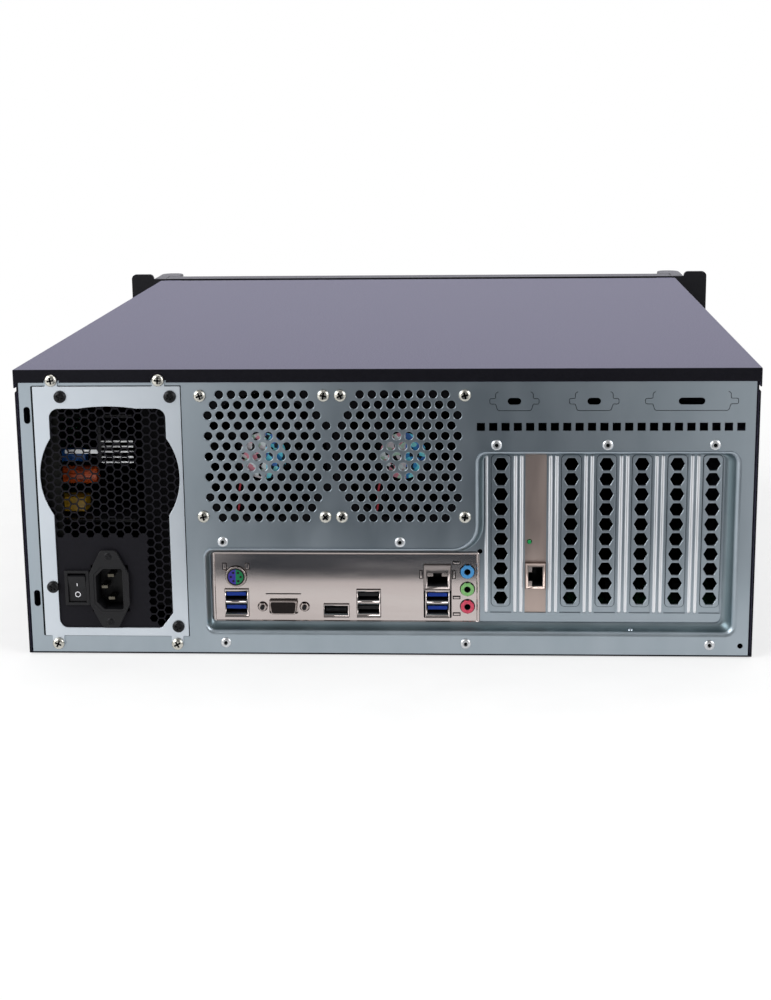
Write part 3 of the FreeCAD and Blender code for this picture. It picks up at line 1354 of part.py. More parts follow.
board_front = f"({FRONT} + front_plate + control_board)"
piece(box(
    "control_board", middle("control_x", "control_width"), deep(f"{FRONT} + front_plate", board_front),
    (f"{FRONT_TOP} - control_foot_drop", f"{FRONT_TOP} - control_top_drop")), "control_board")
for name in ("power", "reset"):
    cap_start = ("control_x", deep("0", f"{FACE} + button_stand")[0], f"{FRONT_TOP} - {name}_drop")
    cap_length = f"{FACE} + button_stand - {board_front} - button_back"
    cap = rod(f"{name}_cap", "y", f"{name}_radius", cap_start, cap_length, FACETS)
    collar_far = f"({FACE} - bezel_face - clearance)"
    collar_start = ("control_x", deep("0", collar_far)[0], f"{FRONT_TOP} - {name}_drop")
    collar = rod(f"{name}_collar", "y", f"{name}_radius + button_collar", collar_start,
                 "button_collar_depth", FACETS)
    piece(joined(f"{name}_button", [cap, collar]), f"{name}_button")
lamps = []
for number, across in enumerate(lamp_x, 1):
    start = (across, deep("0", f"{FACE} + bay_cover_stand")[0], f"{FRONT_TOP} - lamp_drop")
    lamp_length = f"{FACE} + bay_cover_stand - {board_front}"
    lamps.append(rod(f"front_lamp_{number}", "y", "lamp_radius", start, lamp_length, SMALL_FACETS))
piece(group("front_lamps", lamps), "front_lamps")
front_ports = []
for number, up in enumerate(front_usb_z, 1):
    shell = box(f"front_usb_shell_{number}", middle("control_x", "front_usb_width"), deep(board_front, FACE),
                middle(up, "front_usb_height"))
    mouth = box(f"front_usb_mouth_{number}", middle("control_x", "front_usb_width - 3 * clearance"),
                deep(f"{FACE} - usb_mouth_depth", FACE), middle(up, "front_usb_height - 3 * clearance"))
    tongue = box(f"front_usb_tongue_{number}", middle("control_x", "front_usb_width - 9 * clearance"),
                 deep(f"{FACE} - usb_mouth_depth", f"{FACE} - clearance"), (up, f"{up} + usb_tongue"))
    hollow_port = cut(f"front_usb_hollow_{number}", shell, [mouth])
    front_ports.append(joined(f"front_usb_port_{number}", [hollow_port, tongue]))
piece(group("front_usb_ports", front_ports), "front_usb_ports")


# Drive cage behind the bays, with a shelf under each hard drive.

cage_x = middle("bay_x", "cage_width")
cage_y = deep(f"{FRONT} - cage_depth", FRONT)
cage_block = box("cage_block", cage_x, cage_y, ("sheet", "cage_top"))
cage_hollow = box("cage_hollow", (f"{cage_x[0]} + sheet", f"{cage_x[1]} - sheet"), cage_y,
                  ("2 * sheet", "cage_top - sheet"))
cage_inner = (f"{cage_x[0]} + sheet", f"{cage_x[1]} - sheet")
shelf_z = [f"(shelf_low + shelf_pitch * {number})" for number in range(int(S.drive_count))]
shelves = [box(f"cage_shelf_{number}", cage_inner, cage_y, (up, f"{up} + sheet"))
           for number, up in enumerate(shelf_z, 1)]
piece(joined("drive_cage", [cut("cage_sleeve", cage_block, [cage_hollow])] + shelves), "drive_cage")
drives = []
for number, up in enumerate(shelf_z, 1):
    back = f"{FRONT} - cage_depth + drive_start"
    drives.append(box(
        f"hard_drive_{number}", middle("bay_x", "drive_width"), deep(back, f"{back} + drive_length"),
        (f"{up} + sheet", f"{up} + sheet + drive_height")))
piece(group("hard_drives", drives), "hard_drives")


# Every object has to be sound before anything is written.

doc.recompute()
failed = [item.Label for item in doc.Objects if {"Invalid", "Error"} & set(item.State)]
failed += [item.Label for item in pieces if item.Shape.isNull() or not item.Shape.isValid()]
if failed:
    raise RuntimeError("failed: " + ", ".join(failed))
os.makedirs("parts", exist_ok=True)
for item in pieces:
    item.Shape.exportStep(f"parts/{item.Label}.step")
print(len(pieces), "pieces,", sum(len(item.Shape.Solids) for item in pieces), "solids")
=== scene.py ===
import math

import bmesh
import bpy
from mathutils import Matrix, Vector


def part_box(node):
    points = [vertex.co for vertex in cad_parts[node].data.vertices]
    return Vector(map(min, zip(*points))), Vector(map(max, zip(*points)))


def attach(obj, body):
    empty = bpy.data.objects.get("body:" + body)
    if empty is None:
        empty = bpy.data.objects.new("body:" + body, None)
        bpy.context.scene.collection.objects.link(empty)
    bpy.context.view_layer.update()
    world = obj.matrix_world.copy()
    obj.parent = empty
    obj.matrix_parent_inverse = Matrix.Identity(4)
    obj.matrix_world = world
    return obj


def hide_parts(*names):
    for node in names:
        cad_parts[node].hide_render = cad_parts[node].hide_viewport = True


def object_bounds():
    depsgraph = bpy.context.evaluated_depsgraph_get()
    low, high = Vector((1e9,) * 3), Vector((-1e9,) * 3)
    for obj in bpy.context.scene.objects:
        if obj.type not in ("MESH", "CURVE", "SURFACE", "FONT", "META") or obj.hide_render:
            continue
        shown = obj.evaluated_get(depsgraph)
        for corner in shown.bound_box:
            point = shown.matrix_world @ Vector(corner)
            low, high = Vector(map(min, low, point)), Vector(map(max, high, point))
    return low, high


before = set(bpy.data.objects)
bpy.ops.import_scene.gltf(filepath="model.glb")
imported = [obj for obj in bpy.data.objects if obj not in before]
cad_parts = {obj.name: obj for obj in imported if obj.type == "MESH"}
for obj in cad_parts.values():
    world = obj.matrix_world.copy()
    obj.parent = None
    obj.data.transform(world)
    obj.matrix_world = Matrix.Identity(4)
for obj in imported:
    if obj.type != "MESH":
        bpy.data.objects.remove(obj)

cad_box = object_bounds()
scene = bpy.context.scene
scene.view_settings.view_transform = "Standard"


# Base tray: the floor and both side walls of the case, folded from one steel sheet and powder
# coated black. The walls step in under the cover's skirt, and the panels are riveted to it.

MM = 0.001


def linear(code):
    """A colour written as sRGB hex, in linear light."""
    parts = [int(code[place:place + 2], 16) / 255 for place in (1, 3, 5)]
    return [part / 12.92 if part <= 0.04045 else ((part + 0.055) / 1.055) ** 2.4 for part in parts] + [1.0]


def add(tree, kind, inputs=None, **settings):
    """A node with its settings; each input takes a value, a socket or a list of sockets."""
    node = tree.nodes.new(kind)
    for name, value in settings.items():
        setattr(node, name, value)
    for key, value in (inputs or {}).items():
        several = isinstance(value, list) and isinstance(value[0], bpy.types.NodeSocket)
        for source in value if several else [value]:
            if isinstance(source, bpy.types.NodeSocket):
                tree.links.new(source, node.inputs[key])
            else:
                node.inputs[key].default_value = source
    return node


def ranged(tree, value, start, end, low=0.0, high=1.0):
    """A value carried over from one range to another."""
    carried = add(tree, "ShaderNodeMapRange", {
        "Value": value, "From Min": start, "From Max": end, "To Min": low, "To Max": high})
    return carried.outputs[0]


def blended(tree, share, one, two, **settings):
    """A colour that turns from one into another by a share."""
    return add(tree, "ShaderNodeMix", {0: share, 6: one, 7: two}, data_type="RGBA", **settings).outputs[2]


def finish(name, dark, light, grain, roughness, metallic=0.0, sway=0.06, relief=0.0, stretch=(1, 1, 1),
           **shader):
    """A surface of two close tones: a noise of the grain, in millimetres, sways colour, gloss and relief."""
    made = bpy.data.materials.new(name)
    made.use_nodes = True
    tree = made.node_tree
    surface = tree.nodes["Principled BSDF"]
    place = add(tree, "ShaderNodeTexCoord")
    drawn = add(tree, "ShaderNodeMapping", {"Vector": place.outputs["Object"], "Scale": stretch})
    noise = add(tree, "ShaderNodeTexNoise", {
        "Vector": drawn.outputs[0], "Scale": 1 / (grain * MM), "Detail": 3.0})
    spread = ranged(tree, noise.outputs["Fac"], 0.3, 0.7)
    tone = blended(tree, spread, linear(dark), linear(light))
    gloss = ranged(tree, spread, 0.0, 1.0, roughness - sway, roughness + sway)
    tree.links.new(tone, surface.inputs["Base Color"])
    tree.links.new(gloss, surface.inputs["Roughness"])
    surface.inputs["Metallic"].default_value = metallic
    for socket, value in shader.items():
        surface.inputs[socket.replace("_", " ")].default_value = value
    if relief:
        bump = add(tree, "ShaderNodeBump", {"Height": spread, "Strength": relief, "Distance": 0.1 * MM})
        tree.links.new(bump.outputs[0], surface.inputs["Normal"])
    return made


def linked(name, data):
    """A new object of the scene."""
    made = bpy.data.objects.new(name, data)
    scene.collection.objects.link(made)
    return made


def baked(maker, name):
    """The maker's evaluated mesh as a plain piece; the maker goes."""
    bpy.context.view_layer.update()
    ready = maker.evaluated_get(bpy.context.evaluated_depsgraph_get())
    mesh = bpy.data.meshes.new_from_object(ready)
    spent = maker.data
    bpy.data.objects.remove(maker)
    bpy.data.meshes.remove(spent)
    mesh.name = name
    return linked(name, mesh)


def smooth(piece, angle=50):
    """Shades a piece smooth, except over edges sharper than the angle in degrees; flat faces stay flat."""
    piece.data.shade_smooth()
    piece.data.set_sharp_from_angle(angle=math.radians(angle))
    even = piece.modifiers.new("even_faces", "WEIGHTED_NORMAL")
    even.keep_sharp = True
    return baked(piece, piece.name)


def eased(maker, name, width, segments=2):
    """The maker's mesh as a piece with its edges rounded over, by a width in millimetres."""
    bevel = maker.modifiers.new("eased_edges", "BEVEL")
    bevel.width = width * MM
    bevel.segments = segments
    bevel.limit_method = "ANGLE"
    bevel.angle_limit = math.radians(40)
    return smooth(baked(maker, name))


def formed(shape, name):
    """An object from a worked shape."""
    mesh = bpy.data.meshes.new(name)
    shape.to_mesh(mesh)
    shape.free()
    return linked(name, mesh)


def solid_copy(node):
    """A merged copy of a solid's mesh, without the edges that lie flat inside its faces."""
    shape = bmesh.new()
    shape.from_mesh(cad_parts[node].data)
    bmesh.ops.remove_doubles(shape, verts=shape.verts, dist=0.01 * MM)
    bmesh.ops.dissolve_limit(shape, angle_limit=math.radians(1), verts=shape.verts, edges=shape.edges)
    return formed(shape, node + "_maker")


def keep(piece, coat, slot, *nodes, body="case"):
    """Gives a piece its finish and its body, and hides the solids that it stands for; its slot is not used.
    """
    if coat:
        piece.data.materials.clear()
        piece.data.materials.append(coat)
    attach(piece, body)
    if nodes:
        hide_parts(*nodes)
    return piece


def eased_solid(node, width, coat, slot, body="case"):
    """The solid's own shape with eased edges."""
    return keep(eased(solid_copy(node), node + "_skin", width), coat, slot, node, body=body)


# Powder coat: black polyester baked on steel. It gives a satin sheen with the fine grit of the powder,
# drawn coarser than its real 0.2 mm so that it shows.
powder_coat = finish("black_powder_coat", "#07070A", "#0D0D11", grain=0.9, roughness=0.4, relief=0.2,
                     Specular_IOR_Level=0.07, Sheen_Weight=0.5, Sheen_Roughness=0.45,
                     Sheen_Tint=linear("#A5A2C8"))
eased_solid("base_tray", 0.3, powder_coat, "case_paint")


# Rear panel: one zinc-plated sheet, punched with fan vents, square vents and knock-outs, and stamped
# into an L-shaped recess that holds the port shield and the slots. It is riveted into the tray.

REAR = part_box("rear_panel")[1].y
SHEET = 1.0
PSU_X, PSU_Z = 160.3, 86.2
PSU_OPENING = (86.8, 150.8)
FAN_Z = 119.7
FAN_X = {"left_rear_fan": 70.4, "right_rear_fan": -10.8}
SLOT_START, SLOT_PITCH = -67.3, 20.32
SLOT_X = [SLOT_START - SLOT_PITCH * number for number in range(7)]
SLOT_WIDTH, SLOT_LOW, SLOT_HIGH = 12.4, 24.5, 119.8
IO_LEFT, IO_RIGHT, IO_LOW, IO_HIGH = 103.575, -55.175, 17.3, 61.75
RECESS_DEPTH = 6.3
VENT_RADIUS, VENT_ROLL = 2.85, 0.35
ROUND, SQUARE, HEXAGON = range(3)


def rounded(corners, steps=6):
    """Points round a closed outline of (across, up, radius) corners, its round ones as arcs."""
    spots = [Vector((across, up)) for across, up, radius in corners]
    outline = []
    for number, (across, up, radius) in enumerate(corners):
        spot = spots[number]
        if radius == 0:
            outline.append(tuple(spot))
            continue
        back = (spots[number - 1] - spot).normalized()
        ahead = (spots[(number + 1) % len(spots)] - spot).normalized()
        half = back.angle(ahead) / 2
        centre = spot + (back + ahead).normalized() * radius / math.sin(half)
        arm = spot + back * radius / math.tan(half) - centre
        sweep = math.copysign(math.pi - 2 * half, back.cross(ahead))
        for step in range(steps + 1):
            reach = Matrix.Rotation(-sweep * step / steps, 2) @ arm
            outline.append(tuple(centre + reach))
    return outline


def rectangle(across, up, width, height, radius=0.0, steps=6):
    """A rectangle round a centre, with round corners."""
    right, left = across - width / 2, across + width / 2
    low, high = up - height / 2, up + height / 2
    corners = [(right, low, radius), (left, low, radius), (left, high, radius), (right, high, radius)]
    return rounded(corners, steps)


def slit(line, width):
    """A narrow closed outline that follows an open line of points."""
    spots = [Vector(point) for point in line]
    sides = []
    for number, spot in enumerate(spots):
        before = spots[max(number - 1, 0)]
        after = spots[min(number + 1, len(spots) - 1)]
        along = (after - before).normalized()
        sides.append(Vector((-along.y, along.x)) * width / 2)
    out = [tuple(spot + side) for spot, side in zip(spots, sides)]
    home = [tuple(spot - side) for spot, side in zip(spots, sides)]
    return out + home[::-1]


def outlines(name, loops):
    """A flat curve with one closed line for each loop."""
    curve = bpy.data.curves.new(name, "CURVE")
    curve.dimensions = "3D"
    for loop in loops:
        line = curve.splines.new("POLY")
        line.points.add(len(loop) - 1)
        for point, (across, up) in zip(line.points, loop):
            point.co = (across * MM, up * MM, 0.0, 1.0)
        line.use_cyclic_u = True
    return linked(name, curve)


def hole_places(name, holes):
    """A vertex for each (across, up, shape, width, height) hole, which carries its shape and size."""
    mesh = bpy.data.meshes.new(name)
    mesh.from_pydata([(hole[0] * MM, hole[1] * MM, 0.0) for hole in holes], [], [])
    shapes = mesh.attributes.new("shape", "INT", "POINT")
    sizes = mesh.attributes.new("size", "FLOAT_VECTOR", "POINT")
    for number, hole in enumerate(holes):
        shape, width, height = hole[2:]
        shapes.data[number].value = shape
        sizes.data[number].vector = (width * MM, height * MM, 1.0)
    return linked(name, mesh)


def new_tree(name, **inputs):
    """An empty tree of geometry nodes with named inputs, and the outputs of its input node."""
    tree = bpy.data.node_groups.new(name, "GeometryNodeTree")
    tree.interface.new_socket("Geometry", in_out="OUTPUT", socket_type="NodeSocketGeometry")
    tree.interface.new_socket("Geometry", in_out="INPUT", socket_type="NodeSocketGeometry")
    for label, kind in inputs.items():
        tree.interface.new_socket(label, in_out="INPUT", socket_type="NodeSocket" + kind)
    return tree, tree.nodes.new("NodeGroupInput").outputs


def end_tree(tree, made, coat):
    """Closes a tree: real geometry in one finish."""
    real = add(tree, "GeometryNodeRealizeInstances", {"Geometry": made})
    coated = add(tree, "GeometryNodeSetMaterial", {"Geometry": real.outputs[0], "Material": coat})
    add(tree, "NodeGroupOutput", {"Geometry": coated.outputs[0]})


def grown(name, tree, **inputs):
    """A maker whose mesh comes from a tree, with the tree's inputs set by identifier."""
    maker = linked(name + "_maker", bpy.data.meshes.new(name))
    growth = maker.modifiers.new(name, "NODES")
    growth.node_group = tree
    for socket in tree.interface.items_tree:
        if socket.in_out == "INPUT" and socket.name in inputs:
            growth[socket.identifier] = inputs[socket.name]
    return maker


def sheet_tree():
    """A flat sheet: outlines and stamped holes are filled, given a thickness and stood upright."""
    tree, given = new_tree("punched_sheet", Outline="Object", Holes="Object", Thickness="Float", Face="Float",
                           Coat="Material")
    lines = add(tree, "GeometryNodeObjectInfo", {"Object": given["Outline"]})
    places = add(tree, "GeometryNodeObjectInfo", {"Object": given["Holes"]})
    shape = add(tree, "GeometryNodeInputNamedAttribute", {"Name": "shape"}, data_type="INT")
    size = add(tree, "GeometryNodeInputNamedAttribute", {"Name": "size"}, data_type="FLOAT_VECTOR")
    punches = [
        add(tree, "GeometryNodeCurvePrimitiveCircle", {"Resolution": 18, "Radius": 0.5}),
        add(tree, "GeometryNodeCurvePrimitiveQuadrilateral", {"Width": 1.0, "Height": 1.0}),
        add(tree, "GeometryNodeCurvePrimitiveCircle", {"Resolution": 6, "Radius": 0.5}),
    ]
    parts = [lines.outputs["Geometry"]]
    for kind, punch in enumerate(punches):
        chosen = add(tree, "FunctionNodeCompare", {2: shape.outputs["Attribute"], 3: kind},
                     data_type="INT", operation="EQUAL")
        stamped = add(tree, "GeometryNodeInstanceOnPoints", {
            "Points": places.outputs["Geometry"], "Selection": chosen.outputs[0],
            "Instance": punch.outputs[0], "Scale": size.outputs["Attribute"]})
        parts.append(stamped.outputs[0])
    together = add(tree, "GeometryNodeJoinGeometry", {"Geometry": parts})
    real = add(tree, "GeometryNodeRealizeInstances", {"Geometry": together.outputs[0]})
    flat = add(tree, "GeometryNodeFillCurve", {"Curve": real.outputs[0]}, mode="NGONS")
    back = add(tree, "GeometryNodeExtrudeMesh", {
        "Mesh": flat.outputs[0], "Offset Scale": given["Thickness"], "Individual": False})
    face = add(tree, "GeometryNodeFlipFaces", {"Mesh": flat.outputs[0]})
    shell = add(tree, "GeometryNodeJoinGeometry", {"Geometry": [back.outputs["Mesh"], face.outputs[0]]})
    closed = add(tree, "GeometryNodeMergeByDistance", {"Geometry": shell.outputs[0], "Distance": 0.002 * MM})
    stand = add(tree, "ShaderNodeCombineXYZ", {"Y": given["Face"]})
    upright = add(tree, "GeometryNodeTransform", {
        "Geometry": closed.outputs[0], "Translation": stand.outputs[0], "Rotation": (math.pi / 2, 0.0, 0.0)})
    end_tree(tree, upright.outputs[0], given["Coat"])
    return tree


punched_sheet = sheet_tree()


def sheet(name, loops, holes, depth, thickness, coat, slot, *nodes, edge=0.0):
    """Keeps an upright punched sheet whose outer face lies at a depth behind the rear panel's face."""
    line = outlines(name + "_outline", loops)
    places = hole_places(name + "_holes", holes)
    maker = grown(name, punched_sheet, Outline=line, Holes=places, Thickness=thickness * MM,
                  Face=REAR - depth * MM, Coat=coat)
    piece = eased(maker, name, edge) if edge else smooth(baked(maker, name), 40)
    bpy.data.objects.remove(line)
    bpy.data.objects.remove(places)
    keep(piece, None, slot, *nodes)


def recess(share):
    """The recess outline, low at the ports and tall at the slots, at a share of its sloped wall's run."""
    left, far = 107.0 - 2.6 * share, -203.2 + 7.0 * share
    low, high = 13.3 + 5.4 * share, 122.3 - 2.2 * share
    near, step = -53.3 - 4.0 * share, 64.6 - 2.4 * share
    bend, inner = 6.0 - 2.0 * share, 14.0 + 2.0 * share
    return rounded([(left, low, bend), (far, low, bend), (far, high, bend), (near, high, bend),
                    (near, step, inner), (left, step, bend)])


def vents():
    """Staggered rows of round vents over both fans, with a few between the two."""
    pitch, rows = 7.0, 13
    centre_row = rows // 2
    holes = []
    for row in range(rows):
        from_centre = abs(row - centre_row)
        up = FAN_Z + (row - centre_row) * pitch * math.sqrt(3) / 2
        count = 10 - row % 2 - (2 if from_centre == centre_row else 0)
        reach = (count - 1) / 2 * pitch
        extra = 1 if from_centre < centre_row / 2 + 1 else 0
        left, right = FAN_X["left_rear_fan"] - reach, FAN_X["right_rear_fan"] - reach
        places = [left + pitch * step for step in range(count)]
        places += [right + pitch * step for step in range(count + extra)]
        if extra and row % 2:
            places.append((left + right + 2 * reach + pitch) / 2)
        holes += [(across, up, ROUND, 2 * VENT_RADIUS, 2 * VENT_RADIUS) for across in places]
    return holes


KNOCKOUT_Z, KNOCKOUT_CUT = 151.9, 0.34


def knockout(across, width, shoulder, ear):
    """The cut line of a connector knock-out, open at its top, with an ear on each side."""
    half, top, ear_half = width / 2, 5.4, 1.6
    right = [(half, top, 1.6), (half, ear_half, 0.7), (ear, ear_half, 0.9), (ear, -ear_half, 0.9),
             (half, -ear_half, 0.7), (shoulder, -top, 1.6)]
    corners = [(across - x, KNOCKOUT_Z + z, radius) for x, z, radius in right]
    corners += [(across + x, KNOCKOUT_Z + z, radius) for x, z, radius in right[::-1]]
    return slit(rounded(corners, 4), KNOCKOUT_CUT)


# Zinc plate: electroplated mild steel, blue-passivated. It gives a cool grey metal with a faint cloudy
# spangle and long soft reflections.
zinc = finish("blue_zinc_plate", "#9DA8B0", "#A7B1B9", grain=24.0, roughness=0.32, metallic=1.0, sway=0.03,
              stretch=(1, 1, 0.4))

RIM_SHARE = -0.2
panel_low, panel_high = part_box("rear_panel")
panel_width = 2 * panel_high.x / MM
panel_foot = panel_low.z / MM
panel_top = panel_high.z / MM - SHEET
panel_loops = [
    rectangle(0.0, (panel_foot + panel_top) / 2, panel_width, panel_top - panel_foot),
    rectangle(PSU_X, PSU_Z, *PSU_OPENING),
    recess(RIM_SHARE),
]
EDGE_X, EDGE_HEIGHTS, EDGE_SLOT, EDGE_ROUND = 207.4, (34.0, 144.2), (3.8, 10.0), 1.89
panel_loops += [rectangle(EDGE_X, up, *EDGE_SLOT, EDGE_ROUND) for up in EDGE_HEIGHTS]
# Each knock-out has a slot to prise it by, as (across, slot length, width, shoulder, ear)
KNOCKOUTS = [(-74.8, 7.7, 21.4, 9.6, 14.0), (-120.1, 7.7, 21.4, 9.6, 14.0), (-175.3, 15.0, 44.0, 20.8, 26.2)]
PRISE_HEIGHT, PRISE_ROUND = 4.0, 1.99
for across, prise_length, width, shoulder, ear in KNOCKOUTS:
    panel_loops.append(rectangle(across, KNOCKOUT_Z, prise_length, PRISE_HEIGHT, PRISE_ROUND))
    panel_loops.append(knockout(across, width, shoulder, ear))
SQUARE_START, SQUARE_PITCH, SQUARE_COUNT, SQUARE_Z, SQUARE_SIDE = -55.7, 7.04, 22, 137.1, 4.7
CORNER_HOLE = (-207.0, 6.7, ROUND, 3.2, 3.2)
panel_holes = vents()
panel_holes += [(SQUARE_START - SQUARE_PITCH * number, SQUARE_Z, SQUARE, SQUARE_SIDE, SQUARE_SIDE)
                for number in range(SQUARE_COUNT)]
panel_holes.append(CORNER_HOLE)
sheet("rear_panel_face", panel_loops, panel_holes, 0.0, SHEET, zinc, "zinc_steel", "rear_panel")


def recess_profile():
    """How the sheet rolls over a tight rim and slopes ever more gently into the floor, as (share, depth)."""
    rim = [(RIM_SHARE, 0.0), (RIM_SHARE / 2, 0.05), (RIM_SHARE / 5, 0.25)]
    start, count = 0.06, 10
    steps = [start + (1 - start) * step / (count - 1) for step in range(count)]
    return rim + [(share, RECESS_DEPTH * (1 - (1 - share) ** 2)) for share in steps]


def bridged(shape, rings):
    """Adds faces between each ring of corners and the next."""
    for near, far in zip(rings, rings[1:]):
        for number in range(len(near)):
            ahead = (number + 1) % len(near)
            shape.faces.new((near[number], far[number], far[ahead], near[ahead]))


def rolled(profile, outline, name):
    """A wall lofted through a ring of the outline at each (share or inset, depth) of the profile."""
    shape = bmesh.new()
    rings = []
    for share, deep in profile:
        rings.append([shape.verts.new((x * MM, REAR - deep * MM, z * MM)) for x, z in outline(share)])
    bridged(shape, rings)
    return formed(shape, name + "_maker")


def place_on(tree):
    """The place on a surface, as its outputs across, along and up."""
    place = add(tree, "ShaderNodeTexCoord")
    return add(tree, "ShaderNodeSeparateXYZ", {"Vector": place.outputs["Object"]}).outputs


profile = recess_profile()
wall_maker = rolled(profile, recess, "recess_wall")
thick = wall_maker.modifiers.new("sheet", "SOLIDIFY")
thick.thickness = SHEET * MM
thick.offset = -1.0
# Wall zinc: the plain plate on the recess's drawn wall, with painted shade that turns it a darker, greener
# grey halfway down the wall; it keeps the plain plate's tone at the rim and at the floor.
wall_shade_zinc = finish("drawn_zinc_plate", "#9DA8B0", "#A7B1B9", grain=24.0, roughness=0.4, metallic=1.0,
                    sway=0.03)
wall_shade_tree = wall_shade_zinc.node_tree
wall_shade_depth = ranged(wall_shade_tree, place_on(wall_shade_tree)["Y"], REAR - RECESS_DEPTH * MM, REAR)
# Painted shade: a ramp that darkens the wall by its depth.
wall_painted_shade = add(wall_shade_tree, "ShaderNodeValToRGB", {"Fac": wall_shade_depth})
WALL_SHADE_TONES = [(0.0, "#FFFFFF"), (0.3, "#AEBABA"), (0.8, "#A4B0B0"), (0.97, "#FFFFFF")]
for number, (height, code) in enumerate(WALL_SHADE_TONES):
    stops = wall_painted_shade.color_ramp.elements
    stop = stops[number] if number < 2 else stops.new(height)
    stop.position = height
    stop.color = linear(code)
plain_tone = wall_shade_tree.nodes["Mix"].outputs[2]
wall_shaded_tone = blended(wall_shade_tree, 1.0, plain_tone, wall_painted_shade.outputs[0], blend_type="MULTIPLY")
wall_shade_tree.links.new(wall_shaded_tone, wall_shade_tree.nodes["Principled BSDF"].inputs["Base Color"])
keep(smooth(baked(wall_maker, "recess_wall")), wall_shade_zinc, "zinc_steel")

CORNER_RELIEF = 1.5


def relieved(across, up, width, height):
    """A rectangular opening with a round relief punched at each corner."""
    outline = []
    for turn, (x, z) in enumerate(((-1, -1), (1, -1), (1, 1), (-1, 1))):
        corner = Vector((across + x * width / 2, up + z * height / 2))
        for step in range(9):
            angle = math.pi / 2 * turn + math.pi / 2 + 1.5 * math.pi * step / 8
            outline.append(tuple(corner + CORNER_RELIEF * Vector((math.cos(angle), math.sin(angle)))))
    return outline


io_middle, io_width = (IO_LEFT + IO_RIGHT) / 2, IO_LEFT - IO_RIGHT
io_centre, io_height = (IO_LOW + IO_HIGH) / 2, IO_HIGH - IO_LOW
floor_loops = [recess(profile[-1][0]), relieved(io_middle, io_centre, io_width, io_height)]
slot_middle, slot_length = (SLOT_LOW + SLOT_HIGH) / 2, SLOT_HIGH - SLOT_LOW
floor_holes = [(across, slot_middle, SQUARE, SLOT_WIDTH, slot_length) for across in SLOT_X]
sheet("recess_floor", floor_loops, floor_holes, RECESS_DEPTH, SHEET, zinc, "zinc_steel", edge=0.2)


def scatter_tree():
    """A part set on every point, each turned about the depth axis by its own random angle."""
    tree, given = new_tree("scattered_parts", Places="Object", Part="Object", Swing="Float", Seed="Int",
                           Coat="Material")
    places = add(tree, "GeometryNodeObjectInfo", {"Object": given["Places"]})
    part = add(tree, "GeometryNodeObjectInfo", {"Object": given["Part"]})
    angle = add(tree, "FunctionNodeRandomValue", {2: 0.0, 3: given["Swing"], "Seed": given["Seed"]},
                data_type="FLOAT")
    turn = add(tree, "ShaderNodeCombineXYZ", {"Y": angle.outputs[1]})
    placed = add(tree, "GeometryNodeInstanceOnPoints", {
        "Points": places.outputs["Geometry"], "Instance": part.outputs["Geometry"],
        "Rotation": turn.outputs[0]})
    end_tree(tree, placed.outputs[0], given["Coat"])
    return tree


scattered_parts = scatter_tree()


def scattered(name, part, places, coat, slot, *nodes, swing=0.0, seed=1):
    """Keeps one piece from a part repeated at (across, depth, up) places; the part goes."""
    mesh = bpy.data.meshes.new(name + "_places")
    mesh.from_pydata([(x * MM, REAR - deep * MM, z * MM) for x, deep, z in places], [], [])
    spots = linked(name + "_places", mesh)
    maker = grown(name, scattered_parts, Places=spots, Part=part, Swing=swing, Seed=seed, Coat=coat)
    piece = smooth(baked(maker, name))
    bpy.data.objects.remove(spots)
    bpy.data.objects.remove(part)
    keep(piece, None, slot, *nodes)


def turned(profile, sides):
    """A closed turned shape round the depth axis, from (radius, along) points."""
    shape = bmesh.new()
    rings = []
    for radius, along in profile:
        ring = []
        for side in range(sides):
            angle = 2 * math.pi * side / sides
            ring.append(shape.verts.new((
                radius * math.cos(angle) * MM, along * MM, radius * math.sin(angle) * MM)))
        rings.append(ring)
    for near, far in zip(rings, rings[1:]):
        for side in range(sides):
            ahead = (side + 1) % sides
            shape.faces.new((near[side], near[ahead], far[ahead], far[side]))
    bmesh.ops.remove_doubles(shape, verts=shape.verts, dist=0.001 * MM)
    bmesh.ops.recalc_face_normals(shape, faces=shape.faces)
    return shape


# Vent edges: the punch rolls the rim of each round vent inwards, so that it catches the light.
ROLL_STEPS, ROLL_DEPTH = 4, 0.9
roll_outer, roll_throat = VENT_RADIUS + 0.02, VENT_RADIUS - VENT_ROLL
roll = [(roll_outer, -ROLL_DEPTH), (roll_outer, 0.0)]
for step in range(ROLL_STEPS + 1):
    turn = math.pi / 2 * step / ROLL_STEPS
    roll.append((VENT_RADIUS - VENT_ROLL * math.sin(turn), -VENT_ROLL * (1 - math.cos(turn))))
roll += [(roll_throat, -ROLL_DEPTH), (roll_outer, -ROLL_DEPTH)]
roll_places = [(across, 0.0, up) for across, up, *size in vents()]
scattered("vent_rolled_edges", formed(turned(roll, 18), "roll"), roll_places, zinc, "zinc_steel")

# Ribs: two beads pressed between neighbouring slots, and one beside the first slot.
RIB_RADIUS, RIB_SPREAD, FIRST_RIB = 1.2, 3.6, 8.5
rib_half = slot_length / 2
arc = [math.pi / 2 * step / 3 for step in range(4)]
rib_end = [(RIB_RADIUS * math.sin(turn), RIB_RADIUS * (1 - math.cos(turn))) for turn in arc]
rib_profile = [(radius, along - rib_half) for radius, along in rib_end]
rib_profile += [(radius, rib_half - along) for radius, along in rib_end[::-1]]
rib = turned(rib_profile, 10)
bmesh.ops.rotate(rib, verts=rib.verts, matrix=Matrix.Rotation(math.pi / 2, 3, "X"))
rib_places = [(SLOT_X[0] + FIRST_RIB, RECESS_DEPTH, slot_middle)]
for across in SLOT_X[:-1]:
    between = across - SLOT_PITCH / 2
    rib_places += [(between + side * RIB_SPREAD / 2, RECESS_DEPTH, slot_middle) for side in (-1, 1)]
